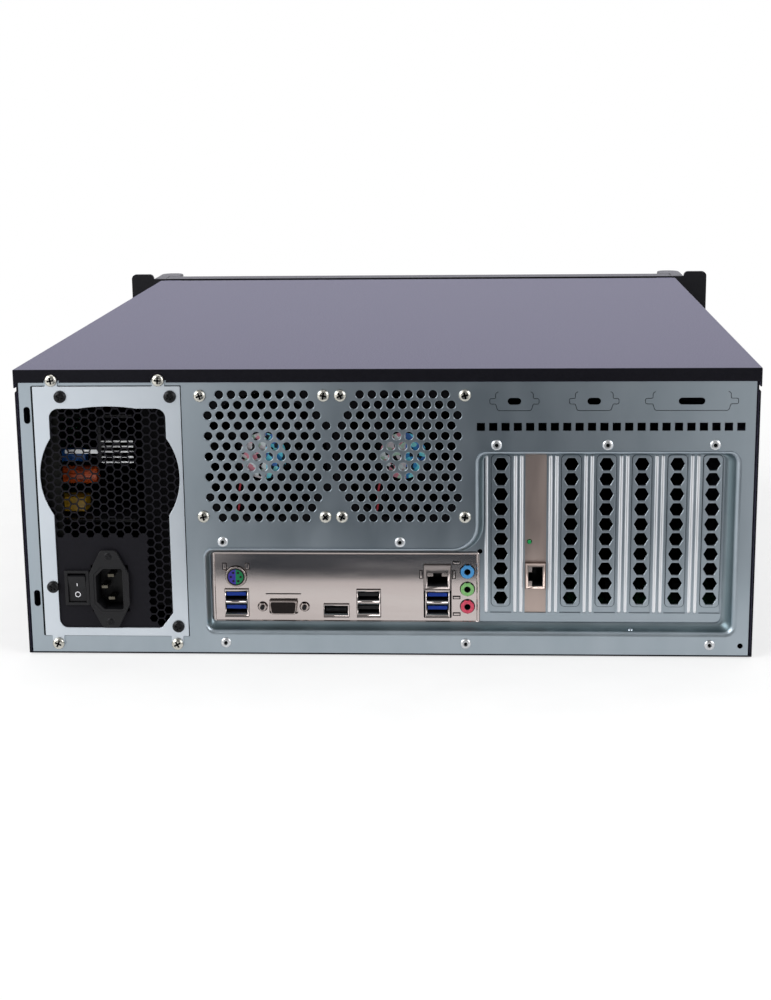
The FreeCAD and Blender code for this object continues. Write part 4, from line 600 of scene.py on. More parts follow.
# Rib zinc: the plate on the bead crests, drawn much paler as a painted highlight. It gives pale bright lines.
rib_highlight_zinc = finish("burnished_zinc_plate", "#E4E7EB", "#F0F2F5", grain=12.0, roughness=0.34,
                        metallic=1.0, stretch=(1, 1, 0.2))
scattered("recess_ribs", formed(rib, "rib"), rib_places, rib_highlight_zinc, "zinc_steel")

# Dimple: a small round boss pressed out under the slots.
dimple = formed(turned([(0, 1.3), (1.0, 1.1), (1.6, 0.5), (1.8, 0.0), (1.8, -1.6), (0, -1.6)], 16), "dimple")
DIMPLE_PLACE = (-143.3, 2.6, 14.6)
scattered("recess_dimple", dimple, [DIMPLE_PLACE], zinc, "zinc_steel")


# Pop rivets: aluminium blind rivets that hold the rear panel to the deck and the tray. Each has a low
# domed flange and a hollow where its mandrel broke off, its floor drawn nearly black as painted shade.

RIVET_HEAD = (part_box("panel_rivets")[1].y - REAR) / MM
RIVET_ROWS = [
    (126.4, (SLOT_X[0] + 2.6, SLOT_X[3], SLOT_X[6])),
    (68.7, (95.375, -8.6)),
    (7.1, (95.375, -46.8, SLOT_X[6])),
]
rivet_places = [(across, 0.0, up) for up, row in RIVET_ROWS for across in row]
# Aluminium: plain rolled metal, matt. It gives a pale grey that is brighter than the zinc.
aluminium = finish("plain_aluminium", "#C4C6C9", "#DADCDE", grain=2.0, roughness=0.36, metallic=1.0)
rivet_shape = turned([
    (0, -0.2), (3.2, -0.2), (3.2, 0.1 * RIVET_HEAD), (2.9, 0.55 * RIVET_HEAD), (2.2, 0.9 * RIVET_HEAD),
    (1.5, RIVET_HEAD), (1.25, 0.9 * RIVET_HEAD), (1.1, 0.35), (0, 0.35)], 18)
scattered("panel_rivet_heads", formed(rivet_shape, "rivet"), rivet_places, aluminium, "aluminium",
          "panel_rivets")
# Mandrel: the steel pin that snaps off inside, drawn nearly black as painted shade in the hollow. It gives
# the small dark centre.
painted_shade_steel = finish("dull_dark_steel", "#0D0E10", "#181A1C", grain=1.0, roughness=0.5, metallic=1.0)
mandrel = turned([(0, 0.1), (1.05, 0.1), (1.05, 0.42), (0, 0.36)], 12)
scattered("rivet_mandrels", formed(mandrel, "mandrel"), rivet_places, painted_shade_steel, "screw_steel")


# Slot covers: six blanking brackets of zinc-plated sheet behind the slot openings, each with a raised
# pan that fills its opening and one column of hexagonal vents.

CARD_SLOT = 1
FLOOR_BACK = RECESS_DEPTH + SHEET
COVER_X = [across for number, across in enumerate(SLOT_X) if number != CARD_SLOT]
BRACKET_Z, BRACKET_SIZE, BRACKET_SHEET = 73.25, (18.4, 105.5), 0.9
PAN_Z, PAN_WIDTH, PAN_HEIGHT, PAN_ROUND = 73.8, 10.9, 91.0, 2.4
PAN_RISE, PAN_SHEET = 0.75, 0.8
HEX_TOP, HEX_PITCH, HEX_SIZE, HEX_COUNT = 113.9, 8.93, 8.5, 10


def pan_outlines(grow):
    """The outlines of all pans, drawn out by a growth."""
    return [rectangle(across, PAN_Z, PAN_WIDTH + grow, PAN_HEIGHT + grow, PAN_ROUND + grow / 2)
            for across in COVER_X]


cells = [(across, HEX_TOP - HEX_PITCH * row, HEXAGON, HEX_SIZE, HEX_SIZE)
         for across in COVER_X for row in range(HEX_COUNT)]
cover_loops = [rectangle(across, BRACKET_Z, *BRACKET_SIZE) for across in COVER_X]
sheet("slot_cover_backs", cover_loops, cells, FLOOR_BACK, BRACKET_SHEET, zinc, "zinc_steel", "slot_covers",
      edge=0.15)
sheet("slot_cover_pans", pan_outlines(0.0), cells, FLOOR_BACK - PAN_RISE, PAN_SHEET, zinc, "zinc_steel",
      edge=0.3)
# Pan shade: a dark line of painted shade round each pan, where it steps up from the bracket.
pan_shade_zinc = finish("scuffed_zinc_plate", "#2E3438", "#394045", grain=6.0, roughness=0.6, metallic=0.8)
CREASE, CREASE_LIFT = 0.6, 0.05
pan_shade_loops = pan_outlines(0.0) + pan_outlines(CREASE)
sheet("slot_cover_creases", pan_shade_loops, [], FLOOR_BACK - CREASE_LIFT, 2 * CREASE_LIFT, pan_shade_zinc,
      "zinc_steel")


# Network card: a bracket of nickel-plated sheet in the second slot with the card's socket and its lamp,
# and the card itself upright in the main board's socket.

CARD_X = SLOT_X[CARD_SLOT]
PORT_Z, LAMP_Z = 47.0, 67.5


def block(shape, across, deep, up):
    """Adds a box to a shape from three spans; depths count in from the rear panel's face."""
    extents = (across, (REAR / MM - deep[1], REAR / MM - deep[0]), up)
    centre = Vector([sum(extent) / 2 * MM for extent in extents])
    size = Vector([(extent[1] - extent[0]) * MM for extent in extents])
    bmesh.ops.create_cube(shape, size=1.0, matrix=Matrix.Translation(centre) @ Matrix.Diagonal(size.to_4d()))


def moulded(shape, name, width, coat, slot):
    """Keeps a worked shape as a piece with eased edges."""
    return keep(eased(formed(shape, name + "_maker"), name, width), coat, slot)


def around(middle, half):
    """A span on both sides of a middle."""
    return middle - half, middle + half


def depths(node):
    """The nearest and the furthest depth of a solid behind the rear panel's face."""
    low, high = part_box(node)
    return (REAR - high.y) / MM, (REAR - low.y) / MM


def spans(node):
    """A solid's extent across and up."""
    low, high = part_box(node)
    return (low.x / MM, high.x / MM), (low.z / MM, high.z / MM)


# Nickel plate: bright plated steel. It gives a warm grey metal, glossier than the zinc.
nickel = finish("warm_nickel_plate", "#A89C98", "#B9AFAB", grain=9.0, roughness=0.22, metallic=1.0)
# Brushed nickel: the bracket's duller plate. It gives a brown grey.
brushed_nickel = finish("brushed_nickel_plate", "#BBA9A1", "#C4B3AB", grain=9.0, roughness=0.36, metallic=1.0,
                        stretch=(1, 1, 0.2))
PORT_ROOM, LAMP_HOLE = 0.4, 3.0
port_across, port_up = spans("network_port")
port_middle = sum(port_across) / 2
port_width, port_height = port_across[1] - port_across[0], port_up[1] - port_up[0]
bracket_loops = [rectangle(CARD_X, BRACKET_Z, *BRACKET_SIZE)]
bracket_loops.append(rectangle(port_middle, PORT_Z, port_width + PORT_ROOM, port_height + PORT_ROOM))
lamp_x = sum(spans("network_lamp")[0]) / 2
bracket_holes = [(lamp_x, LAMP_Z, ROUND, LAMP_HOLE, LAMP_HOLE)]
sheet("network_bracket_face", bracket_loops, bracket_holes, FLOOR_BACK, BRACKET_SHEET, brushed_nickel,
      "tin", "network_bracket", edge=0.15)

# Moulded black plastic: glass-filled nylon. It gives a dull black with a faint grain.
black_plastic = finish("black_moulded_nylon", "#0C0C0F", "#131316", grain=1.5, roughness=0.5,
                       Specular_IOR_Level=0.3)
MOUTH_SLACK, MOUTH_LIP = 0.05, 0.2
LATCH_REACH, LATCH_SPREAD = 2.2, 4.3


def socket_shell(node, mouth, coat):
    """A socket's solid with plated walls; its faces deep in the mouth are drawn black as painted shade."""
    maker = solid_copy(node)
    front = depths(node)[0]
    maker.data.materials.append(coat)
    maker.data.materials.append(black_plastic)
    for face in maker.data.polygons:
        deep = (REAR - face.center.y) / MM - front
        across, up = face.center.x / MM, face.center.z / MM
        inside = any(abs(across - x) <= width / 2 + MOUTH_SLACK and abs(up - z) <= height / 2 + MOUTH_SLACK
                     for x, z, width, height in mouth)
        face.material_index = 1 if inside and deep > MOUTH_LIP else 0
    return keep(smooth(baked(maker, node + "_shell")), None, "tin", node)


def latch_corners(node, boxes):
    """Bright blocks in two corners of a socket's mouth, which leave the notch for a plug's latch."""
    front = depths(node)[0]
    shape = bmesh.new()
    for across, up in boxes:
        block(shape, across, (front + 0.1, front + 3.0), up)
    moulded(shape, node + "_latch_corners", 0.1, nickel, "tin")


NETWORK_MOUTH, NETWORK_LATCH = (8.4, 11.8), 1.6
socket_shell("network_port", [(port_middle, PORT_Z, *NETWORK_MOUTH)], brushed_nickel)
mouth_left = port_middle + NETWORK_MOUTH[0] / 2
latch_corners("network_port", [
    ((mouth_left - LATCH_REACH, mouth_left), around(PORT_Z + side * LATCH_SPREAD, NETWORK_LATCH))
    for side in (-1, 1)])
# Lamp lens: clear green acrylic over a diode. It gives a small glossy green dot.
green_lens = finish("green_acrylic", "#12703A", "#1E9A52", grain=0.6, roughness=0.12, IOR=1.49)
eased_solid("network_lamp", 0.3, green_lens, "lens")


def dress(node, coat):
    """Puts a finish on a solid that shows as it is."""
    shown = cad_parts[node]
    if not shown.material_slots:
        shown.data.materials.append(None)
    shown.material_slots[0].link = "OBJECT"
    shown.material_slots[0].material = coat


# Circuit board: glass epoxy under green solder resist. It gives a glossy dark green with paler tracks.
circuit_board = finish("green_solder_resist", "#0C3A22", "#16502F", grain=5.0, roughness=0.28,
                       stretch=(1, 0.25, 1))
dress("network_card", circuit_board)


# Rear fans: two moulded frames behind the vents, their motor bases held on four struts and covered by a
# plain iridescent foil disc. Each rotor carries seven swept blades and spins on its shaft.

FAN_START = SHEET
BASE_START, HUB_START, HUB_END = 2.0, 4.9, 23.4
# Each fan size is given as (hub radius, blade tip radius)
SMALL_FAN, LARGE_FAN = (16.5, 34.6), (20.5, 53.5)
BLADES, BLADE_WALL, BLADE_ROOT = 7, 1.1, 0.6
BLADE_PITCH, BLADE_CAMBER, BLADE_CHORD, BLADE_SWEEP = 14.0, 1.6, 11.0, 0.42


def reckoned(tree, operation, *values):
    """What an operation makes of its values."""
    return add(tree, "ShaderNodeMath", dict(enumerate(values)), operation=operation).outputs[0]


def blade(hub, tip):
    """One swept and twisted blade with its axis upright, standing out along X."""
    shape = bmesh.new()
    radial, chord = 7, 6
    hub_middle = (HUB_START + HUB_END) / 2
    rows = []
    for out in range(radial):
        share = out / (radial - 1)
        radius = hub - BLADE_ROOT + (tip - hub + BLADE_ROOT) * share
        row = []
        for along in range(chord):
            place = along / (chord - 1) - 0.5
            lift = hub_middle + place * BLADE_PITCH - BLADE_CAMBER * math.cos(place * math.pi)
            arc_length = place * (BLADE_CHORD + BLADE_CHORD * share)
            angle = arc_length / radius + BLADE_SWEEP * share ** 1.4
            spot = (radius * math.cos(angle) * MM, radius * math.sin(angle) * MM, lift * MM)
            row.append(shape.verts.new(spot))
        rows.append(row)
    for near, far in zip(rows, rows[1:]):
        for along in range(chord - 1):
            shape.faces.new((near[along], far[along], far[along + 1], near[along + 1]))
    maker = formed(shape, "blade_maker")
    thick = maker.modifiers.new("wall", "SOLIDIFY")
    thick.thickness = BLADE_WALL * MM
    thick.offset = 0.0
    return baked(maker, "blade")


def rotor_tree():
    """Blades set round a hub, then the rotor turned and put in its place."""
    tree, given = new_tree("fan_rotor", Hub="Object", Blade="Object", Blades="Int", Turn="Vector",
                           Place="Vector", Coat="Material")
    hub = add(tree, "GeometryNodeObjectInfo", {"Object": given["Hub"]})
    one = add(tree, "GeometryNodeObjectInfo", {"Object": given["Blade"]})
    line = add(tree, "GeometryNodeMeshLine", {"Count": given["Blades"], "Offset": (0.0, 0.0, 0.0)})
    step = reckoned(tree, "DIVIDE", 2 * math.pi, given["Blades"])
    number = add(tree, "GeometryNodeInputIndex")
    angle = reckoned(tree, "MULTIPLY", step, number.outputs[0])
    spin = add(tree, "ShaderNodeCombineXYZ", {"Z": angle})
    ring = add(tree, "GeometryNodeInstanceOnPoints", {
        "Points": line.outputs[0], "Instance": one.outputs["Geometry"], "Rotation": spin.outputs[0]})
    whole = add(tree, "GeometryNodeJoinGeometry", {"Geometry": [hub.outputs["Geometry"], ring.outputs[0]]})
    placed = add(tree, "GeometryNodeTransform", {
        "Geometry": whole.outputs[0], "Translation": given["Place"], "Rotation": given["Turn"]})
    end_tree(tree, placed.outputs[0], given["Coat"])
    return tree


fan_rotor = rotor_tree()


def rotor(node, hub, tip, turn, place, body):
    """A fan's turning part: a cup-shaped hub with its shaft and seven blades."""
    shaft, shaft_end, rim, crown = 1.5, BASE_START + 0.4, 0.8, 1.2
    shape = turned([
        (0, shaft_end), (shaft, shaft_end), (shaft, HUB_START), (hub - rim, HUB_START),
        (hub, HUB_START + rim), (hub, HUB_END - crown), (hub - crown, HUB_END), (0, HUB_END)], 36)
    bmesh.ops.rotate(shape, verts=shape.verts, matrix=Matrix.Rotation(math.pi / 2, 3, "X"))
    hub_part = formed(shape, node + "_hub")
    blade_part = blade(hub, tip)
    maker = grown(node, fan_rotor, Hub=hub_part, Blade=blade_part, Blades=BLADES, Turn=turn, Place=place,
                  Coat=fan_plastic)
    piece = smooth(baked(maker, node + "_blades"), 40)
    bpy.data.objects.remove(hub_part)
    bpy.data.objects.remove(blade_part)
    keep(piece, None, "black_plastic", node, body=body)


# Fan plastic: black glass-filled polyester. It gives a satin black that catches thin highlights.
fan_plastic = finish("black_glass_filled_polyester", "#040406", "#08080B", grain=2.0, roughness=0.42,
                     Specular_IOR_Level=0.06)
# Foil: embossed laminate on the motor base. Its cyan, blue and pink flecks are painted reflections of
# the light that it breaks up.
foil = bpy.data.materials.new("iridescent_foil")
foil.use_nodes = True
foil_tree = foil.node_tree
FLECK_SIZE, FOIL_SPLIT = 2.4, -1.5
foil_place = add(foil_tree, "ShaderNodeTexCoord")
flecks = add(foil_tree, "ShaderNodeTexVoronoi", {
    "Vector": foil_place.outputs["Object"], "Scale": 1 / (FLECK_SIZE * MM)})
shade = add(foil_tree, "ShaderNodeSeparateColor", {"Color": flecks.outputs["Color"]})
foil_reach = (FAN_X["left_rear_fan"] - FAN_X["right_rear_fan"]) / 2 * MM
from_left = reckoned(foil_tree, "SUBTRACT", place_on(foil_tree)["X"], FAN_X["left_rear_fan"] * MM)
from_middle = reckoned(foil_tree, "WRAP", from_left, foil_reach, -foil_reach)
foil_side = reckoned(foil_tree, "LESS_THAN", from_middle, FOIL_SPLIT * MM)
foil_sum = reckoned(foil_tree, "ADD", shade.outputs[0], foil_side)
foil_pick = reckoned(foil_tree, "MULTIPLY", foil_sum, 0.5)
hue = add(foil_tree, "ShaderNodeValToRGB", {"Fac": foil_pick})
hue.color_ramp.interpolation = "CONSTANT"
# The first five hues fleck one side of each disc, the other five its other side: each side's painted
# reflections
FOIL_REFLECTION_HUES = ["#D8E0E2", "#15181C", "#D48A98", "#AFCCB8", "#C8C0C4",
             "#68D6EC", "#12202C", "#388CC8", "#8AE0E2", "#4470B4"]
for number, code in enumerate(FOIL_REFLECTION_HUES):
    share = number / len(FOIL_REFLECTION_HUES)
    stop = hue.color_ramp.elements.new(share) if number else hue.color_ramp.elements[0]
    stop.position = share
    stop.color = linear(code)
foil_surface = foil_tree.nodes["Principled BSDF"]
foil_tree.links.new(hue.outputs[0], foil_surface.inputs["Base Color"])
foil_surface.inputs["Metallic"].default_value = 0.5
foil_surface.inputs["Roughness"].default_value = 0.3

TO_FRONT = (math.pi / 2, 0.0, 0.0)
TO_LEFT = (0.0, math.pi / 2, 0.0)
disc_places = []
for name, body in (("left_rear_fan", "left_rear_rotor"), ("right_rear_fan", "right_rear_rotor")):
    across = FAN_X[name]
    eased_solid(name + "_frame", 0.6, fan_plastic, "black_plastic")
    rotor(name + "_rotor", *SMALL_FAN, TO_FRONT, (across * MM, REAR - FAN_START * MM, FAN_Z * MM), body)
    disc_places.append((across, FAN_START + BASE_START, FAN_Z))
DISC_RADIUS = 13.6
disc = formed(turned([(0, -0.05), (DISC_RADIUS, -0.05), (DISC_RADIUS, 0.12), (0, 0.12)], 32), "disc")
scattered("motor_foil_discs", disc, disc_places, foil, "tin")

# Lead insulation: red PVC. It gives a satin red.
red_lead = finish("red_pvc", "#84101F", "#9E1A2C", grain=3.0, roughness=0.4)
LEAD_RADIUS, LEAD_SIDES, LEAD_STEPS = 0.65, 10, 24
LEAD_OUT, LEAD_DRIFT, LEAD_SWAY = 13.4, 2.6, 0.4
LEAD_DROP, LEAD_FALL = 15.2, 18.6


def wound_lead(shape, across):
    """Adds a lead that winds down over the frame from the motor base to the fan's rim."""
    deep = sum(depths("fan_leads")) / 2
    rings = []
    for step in range(LEAD_STEPS + 1):
        share = step / LEAD_STEPS
        out = across + LEAD_OUT + LEAD_DRIFT * share + LEAD_SWAY * math.sin(2 * math.pi * share)
        up = FAN_Z - LEAD_DROP - LEAD_FALL * share
        ring = []
        for side in range(LEAD_SIDES):
            turn = 2 * math.pi * side / LEAD_SIDES
            x, back = out + LEAD_RADIUS * math.cos(turn), deep - LEAD_RADIUS * math.sin(turn)
            ring.append(shape.verts.new((x * MM, REAR - back * MM, up * MM)))
        rings.append(ring)
    bridged(shape, rings)
    shape.faces.new(rings[0])
    shape.faces.new(rings[-1][::-1])


leads = bmesh.new()
for across in FAN_X.values():
    wound_lead(leads, across)
keep(smooth(formed(leads, "fan_lead_wires")), red_lead, "lead_red", "fan_leads")


# Rear ports: plated sockets soldered along the main board's edge, which look out through the shield.
# The flat ones hold a coloured tongue, the round ones a coloured moulding.

LEFT_PORT, MIDDLE_PORT, RIGHT_PORT = 89.1, 10.6, -30.2
USB_ROWS = (26.7, 34.7)
PORT_FACE = 4.8
USB_MOUTH = (12.6, 5.4)
# Tin plate: bright electro-tinned steel. It gives a mirror with a slightly pink tone and soft streaks.
tin = finish("bright_tin_plate", "#B9AFAC", "#C8BFBC", grain=30.0, roughness=0.12, metallic=1.0, sway=0.04,
             stretch=(0.3, 1, 2.5))
# Coloured nylon: dyed right through. It gives clear matt colours inside the sockets.
blue_tongue = finish("blue_nylon", "#08256E", "#0C3084", grain=1.0, roughness=0.5, Specular_IOR_Level=0.2)
black_tongue = finish("dark_nylon", "#0E0E10", "#17171A", grain=1.0, roughness=0.5, Specular_IOR_Level=0.2)
USB_STACKS = [
    ("left_usb_ports", LEFT_PORT, blue_tongue),
    ("middle_usb_ports", MIDDLE_PORT, black_tongue),
    ("right_usb_ports", RIGHT_PORT, blue_tongue),
]
TONGUE_HALF, TONGUE_FOOT, TONGUE_TOP = 5.8, -0.15, 2.0
TONGUE_DEEP = (PORT_FACE + 0.15, PORT_FACE + 9.9)
for node, across, coat in USB_STACKS:
    socket_shell(node, [(across, up, *USB_MOUTH) for up in USB_ROWS], tin)
    tongues = bmesh.new()
    for up in USB_ROWS:
        block(tongues, around(across, TONGUE_HALF), TONGUE_DEEP, (up + TONGUE_FOOT, up + TONGUE_TOP))
    moulded(tongues, node + "_tongues", 0.25, coat, "colour_plastic")

LAN_Z, LAN_MOUTH, LAN_LATCH = 44.9, (11.9, 8.2), 1.7
# Shaded tin: the network socket's rougher shell, drawn darker as painted shade. It gives a mid grey.
shaded_tin = finish("dull_tin_plate", "#8A8280", "#968E8C", grain=9.0, roughness=0.3, metallic=1.0)
socket_shell("lan_port", [(RIGHT_PORT, LAN_Z, *LAN_MOUTH)], shaded_tin)
lan_crest = LAN_Z + LAN_MOUTH[1] / 2
latch_corners("lan_port", [
    (around(RIGHT_PORT + side * LATCH_SPREAD, LAN_LATCH), (lan_crest - LATCH_REACH, lan_crest))
    for side in (-1, 1)])

HDMI_X, HDMI_Z, HDMI_MOUTH = 29.8, 26.3, (13.4, 4.4)
CORE_HALF, CORE_RISE, CORE_TONGUE = 6.6, 2.1, 5.4
socket_shell("hdmi_port", [(HDMI_X, HDMI_Z, *HDMI_MOUTH)], tin)
hdmi_core = bmesh.new()
core_deep, tongue_deep = (PORT_FACE + 2.5, PORT_FACE + 9.0), (PORT_FACE + 0.3, PORT_FACE + 3.0)
block(hdmi_core, around(HDMI_X, CORE_HALF), core_deep, around(HDMI_Z, CORE_RISE))
block(hdmi_core, around(HDMI_X, CORE_TONGUE), tongue_deep, (HDMI_Z - 0.2, HDMI_Z + 0.9))
moulded(hdmi_core, "hdmi_core", 0.15, black_tongue, "colour_plastic")

eased_solid("vga_port", 0.3, nickel, "tin")
VGA_X, VGA_Z, VGA_JACK = 61.2, 27.6, 12.5
VGA_FOOT, VGA_CREST, VGA_RISE, VGA_ROUND = 6.9, 7.9, 3.7, 1.4
vga_corners = [(-VGA_FOOT, -VGA_RISE), (VGA_FOOT, -VGA_RISE), (VGA_CREST, VGA_RISE), (-VGA_CREST, VGA_RISE)]
vga_face = [(VGA_X + x, VGA_Z + z, VGA_ROUND) for x, z in vga_corners]
# Connector core: dark phenolic moulding. It gives a dull brown black.
phenolic = finish("dark_phenolic", "#120D0C", "#1B1413", grain=1.0, roughness=0.6, Specular_IOR_Level=0.15)
sheet("vga_insert", [rounded(vga_face)], [], depths("vga_port")[0] - 0.05, 1.0, phenolic, "colour_plastic",
      edge=0.3)
# Jack bores: dark discs as painted shade in the holes of the jack posts.
jack_bore = formed(turned([(0, -0.2), (1.35, -0.2), (1.35, 0.08), (0, 0.08)], 14), "jack_bore")
jack_places = [(VGA_X + side * VGA_JACK, depths("vga_port")[0], VGA_Z) for side in (-1, 1)]
scattered("vga_jack_bores", jack_bore, jack_places, black_tongue, "colour_plastic")

# Keyboard port: a round moulding dyed half violet and half green. It gives a face in two clear colours.
two_tone = finish("violet_and_green_nylon", "#2C2478", "#372E8C", grain=1.0, roughness=0.5,
                  Specular_IOR_Level=0.2)
tone_tree = two_tone.node_tree
tone_side = reckoned(tone_tree, "LESS_THAN", place_on(tone_tree)["X"], LEFT_PORT * MM)
violet = tone_tree.nodes["Mix"].outputs[2]
tone_pair = blended(tone_tree, tone_side, violet, linear("#0A6A3C"))
tone_tree.links.new(tone_pair, tone_tree.nodes["Principled BSDF"].inputs["Base Color"])
eased_solid("keyboard_port", 0.3, nickel, "tin")
KEYBOARD_Z, PIN_CIRCLE, PIN_COUNT = 46.1, 2.9, 6
plug_place = [(LEFT_PORT, PORT_FACE, KEYBOARD_Z)]
# Channel: a black ring as painted shade in the gap round the moulding.
ring_section = [(4.5, -0.2), (5.3, -0.2), (5.3, 0.15), (4.5, 0.15), (4.5, -0.2)]
plug_ring = formed(turned(ring_section, 28), "plug_ring")
scattered("keyboard_port_ring", plug_ring, plug_place, black_tongue, "colour_plastic")
face_section = [(0, -0.3), (4.5, -0.3), (4.5, 0.2), (4.2, 0.35), (3.8, 0.1), (0, 0.1)]
plug_face = formed(turned(face_section, 28), "plug_face")
scattered("keyboard_port_face", plug_face, plug_place, two_tone, "colour_plastic")
pin_places = []
for step in range(PIN_COUNT):
    turn = 2 * math.pi * step / PIN_COUNT
    across, up = PIN_CIRCLE * math.cos(turn), PIN_CIRCLE * math.sin(turn)
    pin_places.append((LEFT_PORT + across, PORT_FACE - 0.1, KEYBOARD_Z + up))
# Pin holes: dark discs as painted shade in the holes.
pin_hole = formed(turned([(0, -0.1), (0.75, -0.1), (0.75, 0.06), (0, 0.06)], 10), "pin_hole")
scattered("keyboard_port_pins", pin_hole, pin_places, black_tongue, "colour_plastic")

# Sound sockets: three dyed rings over each other in one dark block.
AUDIO_X, AUDIO_FACE = -47.8, depths("audio_jacks")[0]
AUDIO_LOW, AUDIO_PITCH = 28.2, 10.66
AUDIO_COLOURS = [
    ("pink", "#B03048", "#C6445C"),
    ("lime", "#659A58", "#78AE6A"),
    ("sky", "#2C74AA", "#3C86BC"),
]
audio_heights = [AUDIO_LOW + AUDIO_PITCH * number for number in range(len(AUDIO_COLOURS))]
jack_section = [(1.9, -3.0), (3.95, -3.0), (3.95, 0.1), (3.5, 0.35), (2.4, 0.35), (1.9, 0.0), (1.9, -3.0)]
eased_solid("audio_jacks", 0.2, black_tongue, "colour_plastic")
for (name, dark, light), up in zip(AUDIO_COLOURS, audio_heights):
    jack = finish(name + "_nylon", dark, light, grain=1.0, roughness=0.35)
    ring = formed(turned(jack_section, 24), "ring")
    scattered(name + "_jack_ring", ring, [(AUDIO_X, AUDIO_FACE, up)], jack, "colour_plastic")


# Port shield: a thin tinned spring-steel stamping snapped into the recess opening from behind, with a
# raised rim all round and a cut-out for each port.

SHIELD_DEPTH = depths("port_shield")[0]
SHIELD_GAP = 0.12
STACK_GAP, VGA_GAP, KEYBOARD_GAP, JACK_GAP, AUDIO_GAP = 16.5, (17.2, 9.0), 13.4, 6.2, 9.0


def shield_edge(inset):
    """The shield's outline drawn in by an inset."""
    return rectangle(io_middle, io_centre, io_width - 2 * inset, io_height - 2 * inset, max(2.0 - inset, 0.4))


def port_gap(node):
    """A cut-out with a little room round a port's solid."""
    across, up = spans(node)
    foot = max(up[0], IO_LOW + 2.0)
    return rectangle(sum(across) / 2, (foot + up[1]) / 2, across[1] - across[0] + 2 * SHIELD_GAP,
                     up[1] - foot + 2 * SHIELD_GAP, 0.5, 2)


shield_loops = [shield_edge(SHIELD_GAP)]
shield_loops += [port_gap(node) for node in ("left_usb_ports", "middle_usb_ports", "hdmi_port")]
lan_top = spans("lan_port")[1][1] + SHIELD_GAP
usb_foot = spans("right_usb_ports")[1][0] - SHIELD_GAP
shield_loops.append(rectangle(RIGHT_PORT, (usb_foot + lan_top) / 2, STACK_GAP, lan_top - usb_foot, 0.5, 2))
shield_loops.append(rectangle(VGA_X, VGA_Z, *VGA_GAP, 1.0, 2))
shield_holes = [(LEFT_PORT, KEYBOARD_Z, ROUND, KEYBOARD_GAP, KEYBOARD_GAP)]
shield_holes += [(VGA_X + side * VGA_JACK, VGA_Z, ROUND, JACK_GAP, JACK_GAP) for side in (-1, 1)]
shield_holes += [(AUDIO_X, up, ROUND, AUDIO_GAP, AUDIO_GAP) for up in audio_heights]
# Windows for the spring fingers that press on the sockets, as (across, up, width, height)
FINGERS = [(LEFT_PORT + side * 6.7, 52.2, 2.8, 4.4) for side in (-1, 1)]
FINGERS += [(RIGHT_PORT + side * 9.7, 47.6, 2.2, 5.4) for side in (-1, 1)]
FINGERS += [(AUDIO_X + 6.4, up, 4.6, 2.2) for up in (54.8, 33.6, 23.4)]
shield_holes += [(across, up, SQUARE, width, height) for across, up, width, height in FINGERS]
VGA_SLIT = (35.4, SQUARE, 21.0, 0.7)
shield_holes.append((VGA_X, *VGA_SLIT))
sheet("port_shield_face", shield_loops, shield_holes, SHIELD_DEPTH, 0.5, tin, "tin", "port_shield", edge=0.12)
FINGER_SLIT = 0.5
fingers = bmesh.new()
backs = bmesh.new()
for across, up, width, height in FINGERS:
    wide, tall = width / 2, height / 2
    block(backs, around(across, wide), (SHIELD_DEPTH + 0.3, SHIELD_DEPTH + 0.5), around(up, tall))
    wide, tall = wide - FINGER_SLIT, tall - FINGER_SLIT
    block(fingers, around(across, wide), (SHIELD_DEPTH - 0.5, SHIELD_DEPTH + 0.4), around(up, tall))
moulded(fingers, "shield_fingers", 0.2, tin, "tin")
# Finger backs: black blocks behind the finger windows, as painted shade in the slits round the fingers.
keep(formed(backs, "shield_finger_backs"), black_tongue, "colour_plastic")
# The rim's section, as (inset, depth behind the shield's face)
RIM_SECTION = [(0.2, 0.2), (0.3, -0.5), (0.7, -0.9), (1.3, -0.9), (1.8, -0.4), (2.1, 0.1), (2.1, 0.3),
               (0.2, 0.3), (0.2, 0.2)]
rim_profile = [(inset, SHIELD_DEPTH + deep) for inset, deep in RIM_SECTION]
keep(smooth(baked(rolled(rim_profile, shield_edge, "shield_rim"), "shield_rim")), tin, "tin")


# Power supply: a black steel box held to a light steel plate on the rear panel. Its end is a fine
# honeycomb grille, and the transformer, the coil and the heat sink show behind it.

# Light steel: zinc plate with a clear chromate. It gives a bright blue-white satin metal.
light_steel = finish("clear_zinc_plate", "#CBD3DB", "#D4DBE2", grain=30.0, roughness=0.36, metallic=1.0,
                     sway=0.03)
# Power supply paint: matt black powder on thin steel. It gives a dull, nearly flat black.
psu_paint = finish("matt_black_powder_coat", "#0A0910", "#100F16", grain=1.0, roughness=0.6, relief=0.2,
                   Specular_IOR_Level=0.16)
PSU_FACE = (86.0, 150.0)
PLATE_TABS = [(192.1, 164.7), (129.8, 164.7), (195.7, 6.4), (124.2, 6.4)]
TAB_RADIUS, TAB_ROUND, TAB_FILLET, PLATE_ROUND = 3.5, 3.4, 0.4, 0.6
plate_right, plate_left = around(PSU_X, PSU_FACE[0] / 2)
plate_low, plate_high = around(PSU_Z, PSU_FACE[1] / 2)


def tab(start, end, edge, crest):
    """The corners of a screw tab that stands on an edge between two places across."""
    return [(start, edge, TAB_FILLET), (start, crest, TAB_ROUND),
            (end, crest, TAB_ROUND), (end, edge, TAB_FILLET)]


